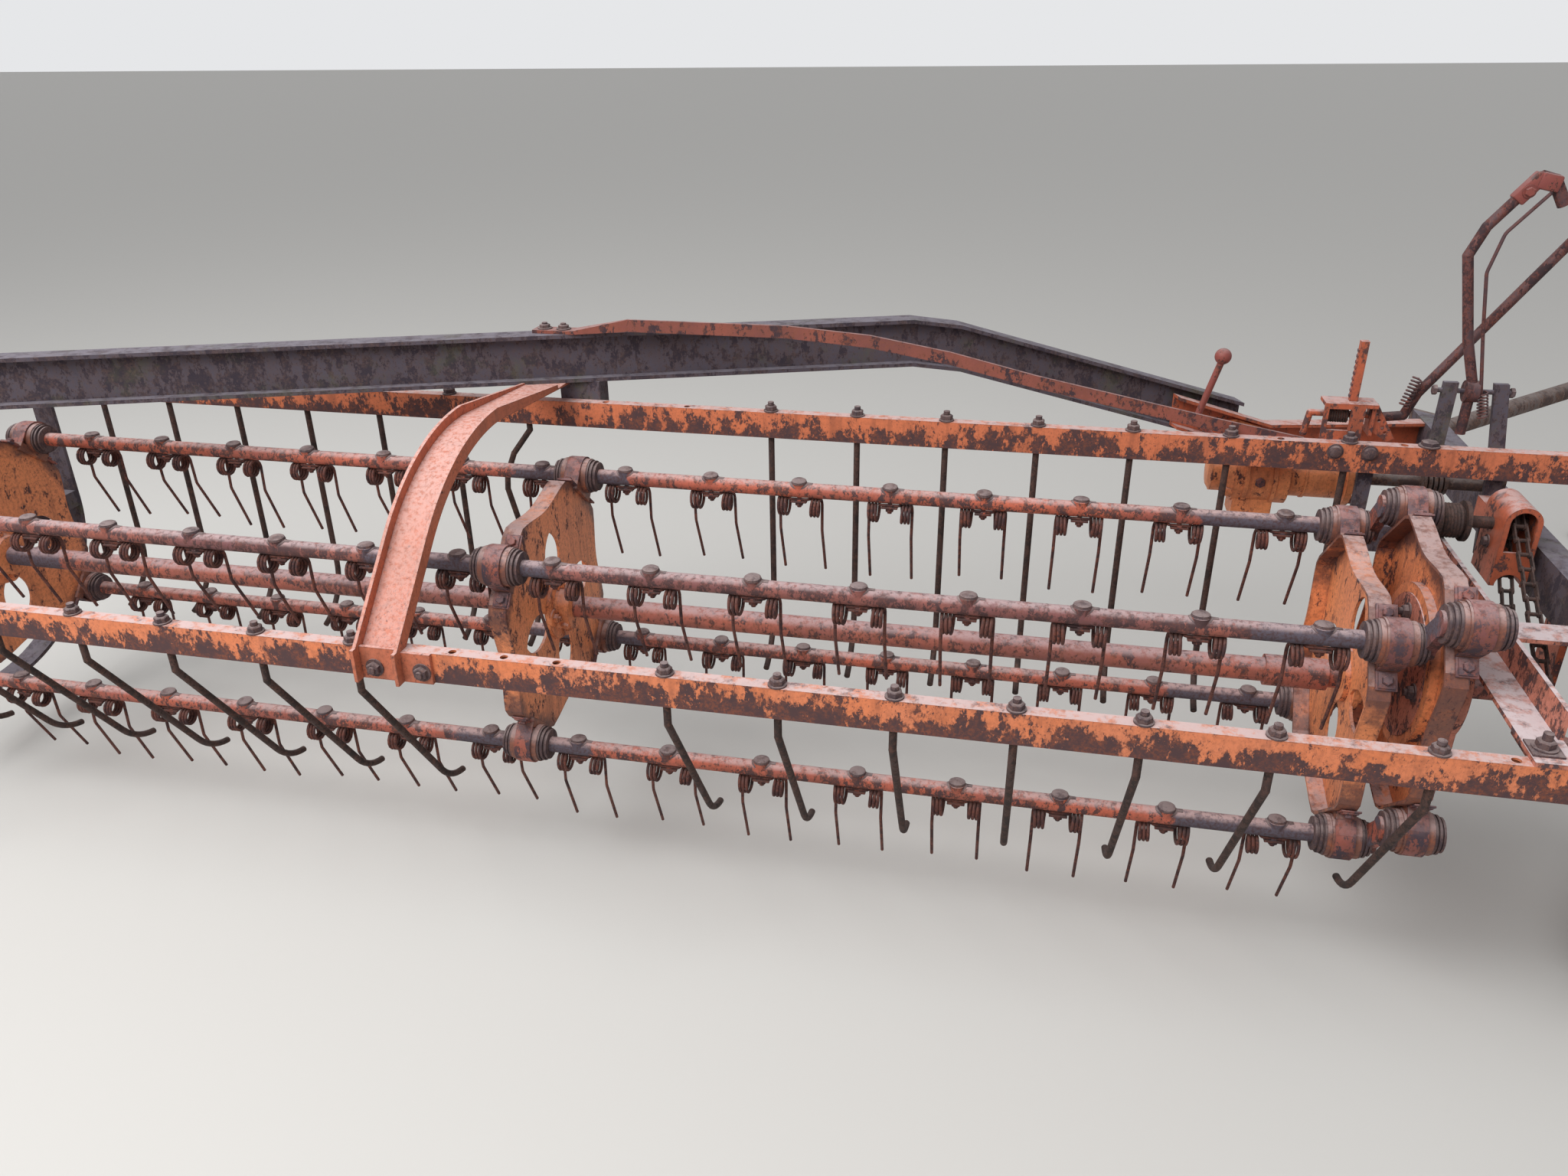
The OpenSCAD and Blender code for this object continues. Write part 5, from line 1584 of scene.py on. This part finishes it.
@dataclass
class Studio:
    """The floor, the light and the photograph's viewpoint."""

    eye: Vector = field(default_factory=lambda: Vector((1.0092, -2.1605, 1.1586)))
    yaw: float = math.radians(12.67)
    pitch: float = math.radians(25.77)
    roll: float = math.radians(-0.73)
    lens: float = 26.56
    sensor: float = 36.0
    floor_reach: float = 60.0
    floor_colour: str = "c6c4c0"
    sky_colour: str = "f1f2f4"
    sky_light: float = 0.65
    sky_seen: float = 0.9
    lamp_at: Vector = field(default_factory=lambda: Vector((-1.8, -2.7, 4.4)))
    lamp_aim: Vector = field(default_factory=lambda: Vector((0.3, 0.2, 0.0)))
    lamp_size: tuple[float, float] = (6.0, 4.0)
    lamp_watts: float = 400.0

    def camera(self) -> None:
        """Stand the camera where the photograph was taken from."""
        data = bpy.data.cameras.new("viewpoint")
        data.lens, data.sensor_width, data.clip_end = self.lens, self.sensor, 200.0
        made = bpy.data.objects.new("viewpoint", data)
        bpy.context.scene.collection.objects.link(made)
        ahead = Vector((-math.sin(self.yaw) * math.cos(self.pitch), math.cos(self.yaw) * math.cos(self.pitch),
                        -math.sin(self.pitch)))
        right = Vector((math.cos(self.yaw), math.sin(self.yaw), 0))
        up = right.cross(ahead)
        rolled = math.cos(self.roll) * right + math.sin(self.roll) * up
        above = -math.sin(self.roll) * right + math.cos(self.roll) * up
        turn = Matrix((rolled, above, -ahead)).transposed().to_4x4()
        made.matrix_world = Matrix.Translation(self.eye + REEL_AT) @ turn
        bpy.context.scene.camera = made

    def floor(self) -> None:
        """Lay a plain pale floor."""
        shape = bmesh.new()
        bmesh.ops.create_grid(shape, x_segments=1, y_segments=1, size=self.floor_reach,
                              matrix=Matrix.Translation(Vector((REEL_AT.x, REEL_AT.y, GROUND_Z))))
        mesh = bpy.data.meshes.new("floor")
        shape.to_mesh(mesh)
        shape.free()
        piece = bpy.data.objects.new("floor", mesh)
        bpy.context.scene.collection.objects.link(piece)
        material, _, shader = blank_material("pale_floor")
        shader.inputs["Base Color"].default_value = linear(self.floor_colour)
        shader.inputs["Roughness"].default_value = 0.9
        mesh.materials.append(material)

    def light(self) -> None:
        """Light the machine softly from the sky and one broad lamp."""
        world = bpy.data.worlds.new("studio_sky")
        bpy.context.scene.world = world
        world.use_nodes = True
        graph = Graph(world.node_tree)
        path = graph.node("ShaderNodeLightPath")
        seen = graph.math("MAXIMUM", path.outputs["Is Camera Ray"], path.outputs["Is Glossy Ray"])
        seen = graph.math("MAXIMUM", seen, path.outputs["Is Transmission Ray"])
        strength = graph.blend_values(seen, self.sky_light, self.sky_seen)
        sky = world.node_tree.nodes["Background"]
        sky.inputs["Color"].default_value = linear(self.sky_colour)
        graph.join(strength, sky.inputs["Strength"])
        data = bpy.data.lights.new("broad_lamp", "AREA")
        data.shape, data.energy = "RECTANGLE", self.lamp_watts
        data.size, data.size_y = self.lamp_size
        lamp = bpy.data.objects.new("broad_lamp", data)
        lamp.location = REEL_AT + self.lamp_at
        aim = REEL_AT + self.lamp_aim - lamp.location
        lamp.rotation_mode = "QUATERNION"
        lamp.rotation_quaternion = aim.to_track_quat("-Z", "Y")
        bpy.context.scene.collection.objects.link(lamp)

    def build(self) -> None:
        """Set up the view, the floor and the light."""
        self.camera()
        self.floor()
        self.light()
        bpy.context.scene.view_settings.view_transform = "Standard"


# Finishes of the CAD nodes

DRESSING = {
    Paint.REAR_RAIL: ("rear_rail",),
    Paint.FRONT_RAIL: ("front_rail",),
    Paint.SPIDER: ("reel_spiders", "control_spider"),
    Paint.BAR: ("tooth_bar_a", "tooth_bar_c", "tooth_bar_d"),
    Paint.DULL_BAR: ("tooth_bar_b",),
    Paint.CORE: ("core_shaft",),
    Paint.ARM: ("curved_arm",),
    Paint.CASE_WITH_PAINTED_LIGHT: ("gear_case",),
    Paint.BRACE: ("strap_brace",),
    Paint.END_ARM: ("end_arm",),
    Paint.FRAME: ("beam_arm", "chain_hood", "crank_adjuster", "wheel_leg", "castor_mast", "castor_fork"),
    Paint.BEAM: ("main_beam", "center_hanger", "left_end_strap", "left_hanger", "rail_post", "lever_bracket",
                 "end_channel"),
    Paint.ROD: ("front_strippers", "rear_strippers", "drive_chain", "idler_shaft"),
    Paint.LEVER: ("tilt_lever", "lift_lever"),
    Paint.GRIP: ("shift_lever",),
    Paint.SPRING: ("tines_a", "tines_b", "tines_c", "tines_d"),
    Paint.STEEL: ("tongue", "hitch_clevis", "stand_leg", "drive_shaft"),
    Paint.WHEEL: ("wheel_rim", "castor_rim"),
    Paint.RUBBER: ("wheel_tyre", "castor_tyre"),
}


def main() -> None:
    """Dress the machine piece by piece."""
    logging.basicConfig(level=logging.INFO, format="%(message)s")
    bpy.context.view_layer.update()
    Studio().build()
    shop = Workshop()
    for paint, nodes in DRESSING.items():
        for node in nodes:
            shop.dress(node, paint)
    reel = Reel()
    main_centre = Vector((2.330, -0.040, -0.205))
    castor_post = Vector((-2.020, 0.401 - 1.960 * math.tan(math.radians(20)), -0.340))
    castor_centre = castor_post - Vector((math.cos(math.pi / 4), math.sin(math.pi / 4), 0)) * 0.150
    assemblies = [
        SpringTines(reel),
        BarHardware(reel),
        Spiders(reel),
        FrameBolts(),
        RailHardware(),
        GearCaseFittings(),
        BeamArmPad(),
        Adjuster(),
        HandLevers(),
        RopeSpool(),
        WheelFittings(main_centre, castor_centre),
        TreadedTyre("main_tyre", "wheel_tyre", "main_wheel", main_centre,
                    radius=0.340, width=0.150, bead=0.1903, bead_width=0.106),
        TreadedTyre("castor_ribbed_tyre", "castor_tyre", "castor_wheel", castor_centre,
                    radius=0.205, width=0.112, bead=0.1013, bead_width=0.088, ribs=3),
    ]
    for assembly in assemblies:
        assembly.build(shop)


if __name__ == "__main__":
    main()
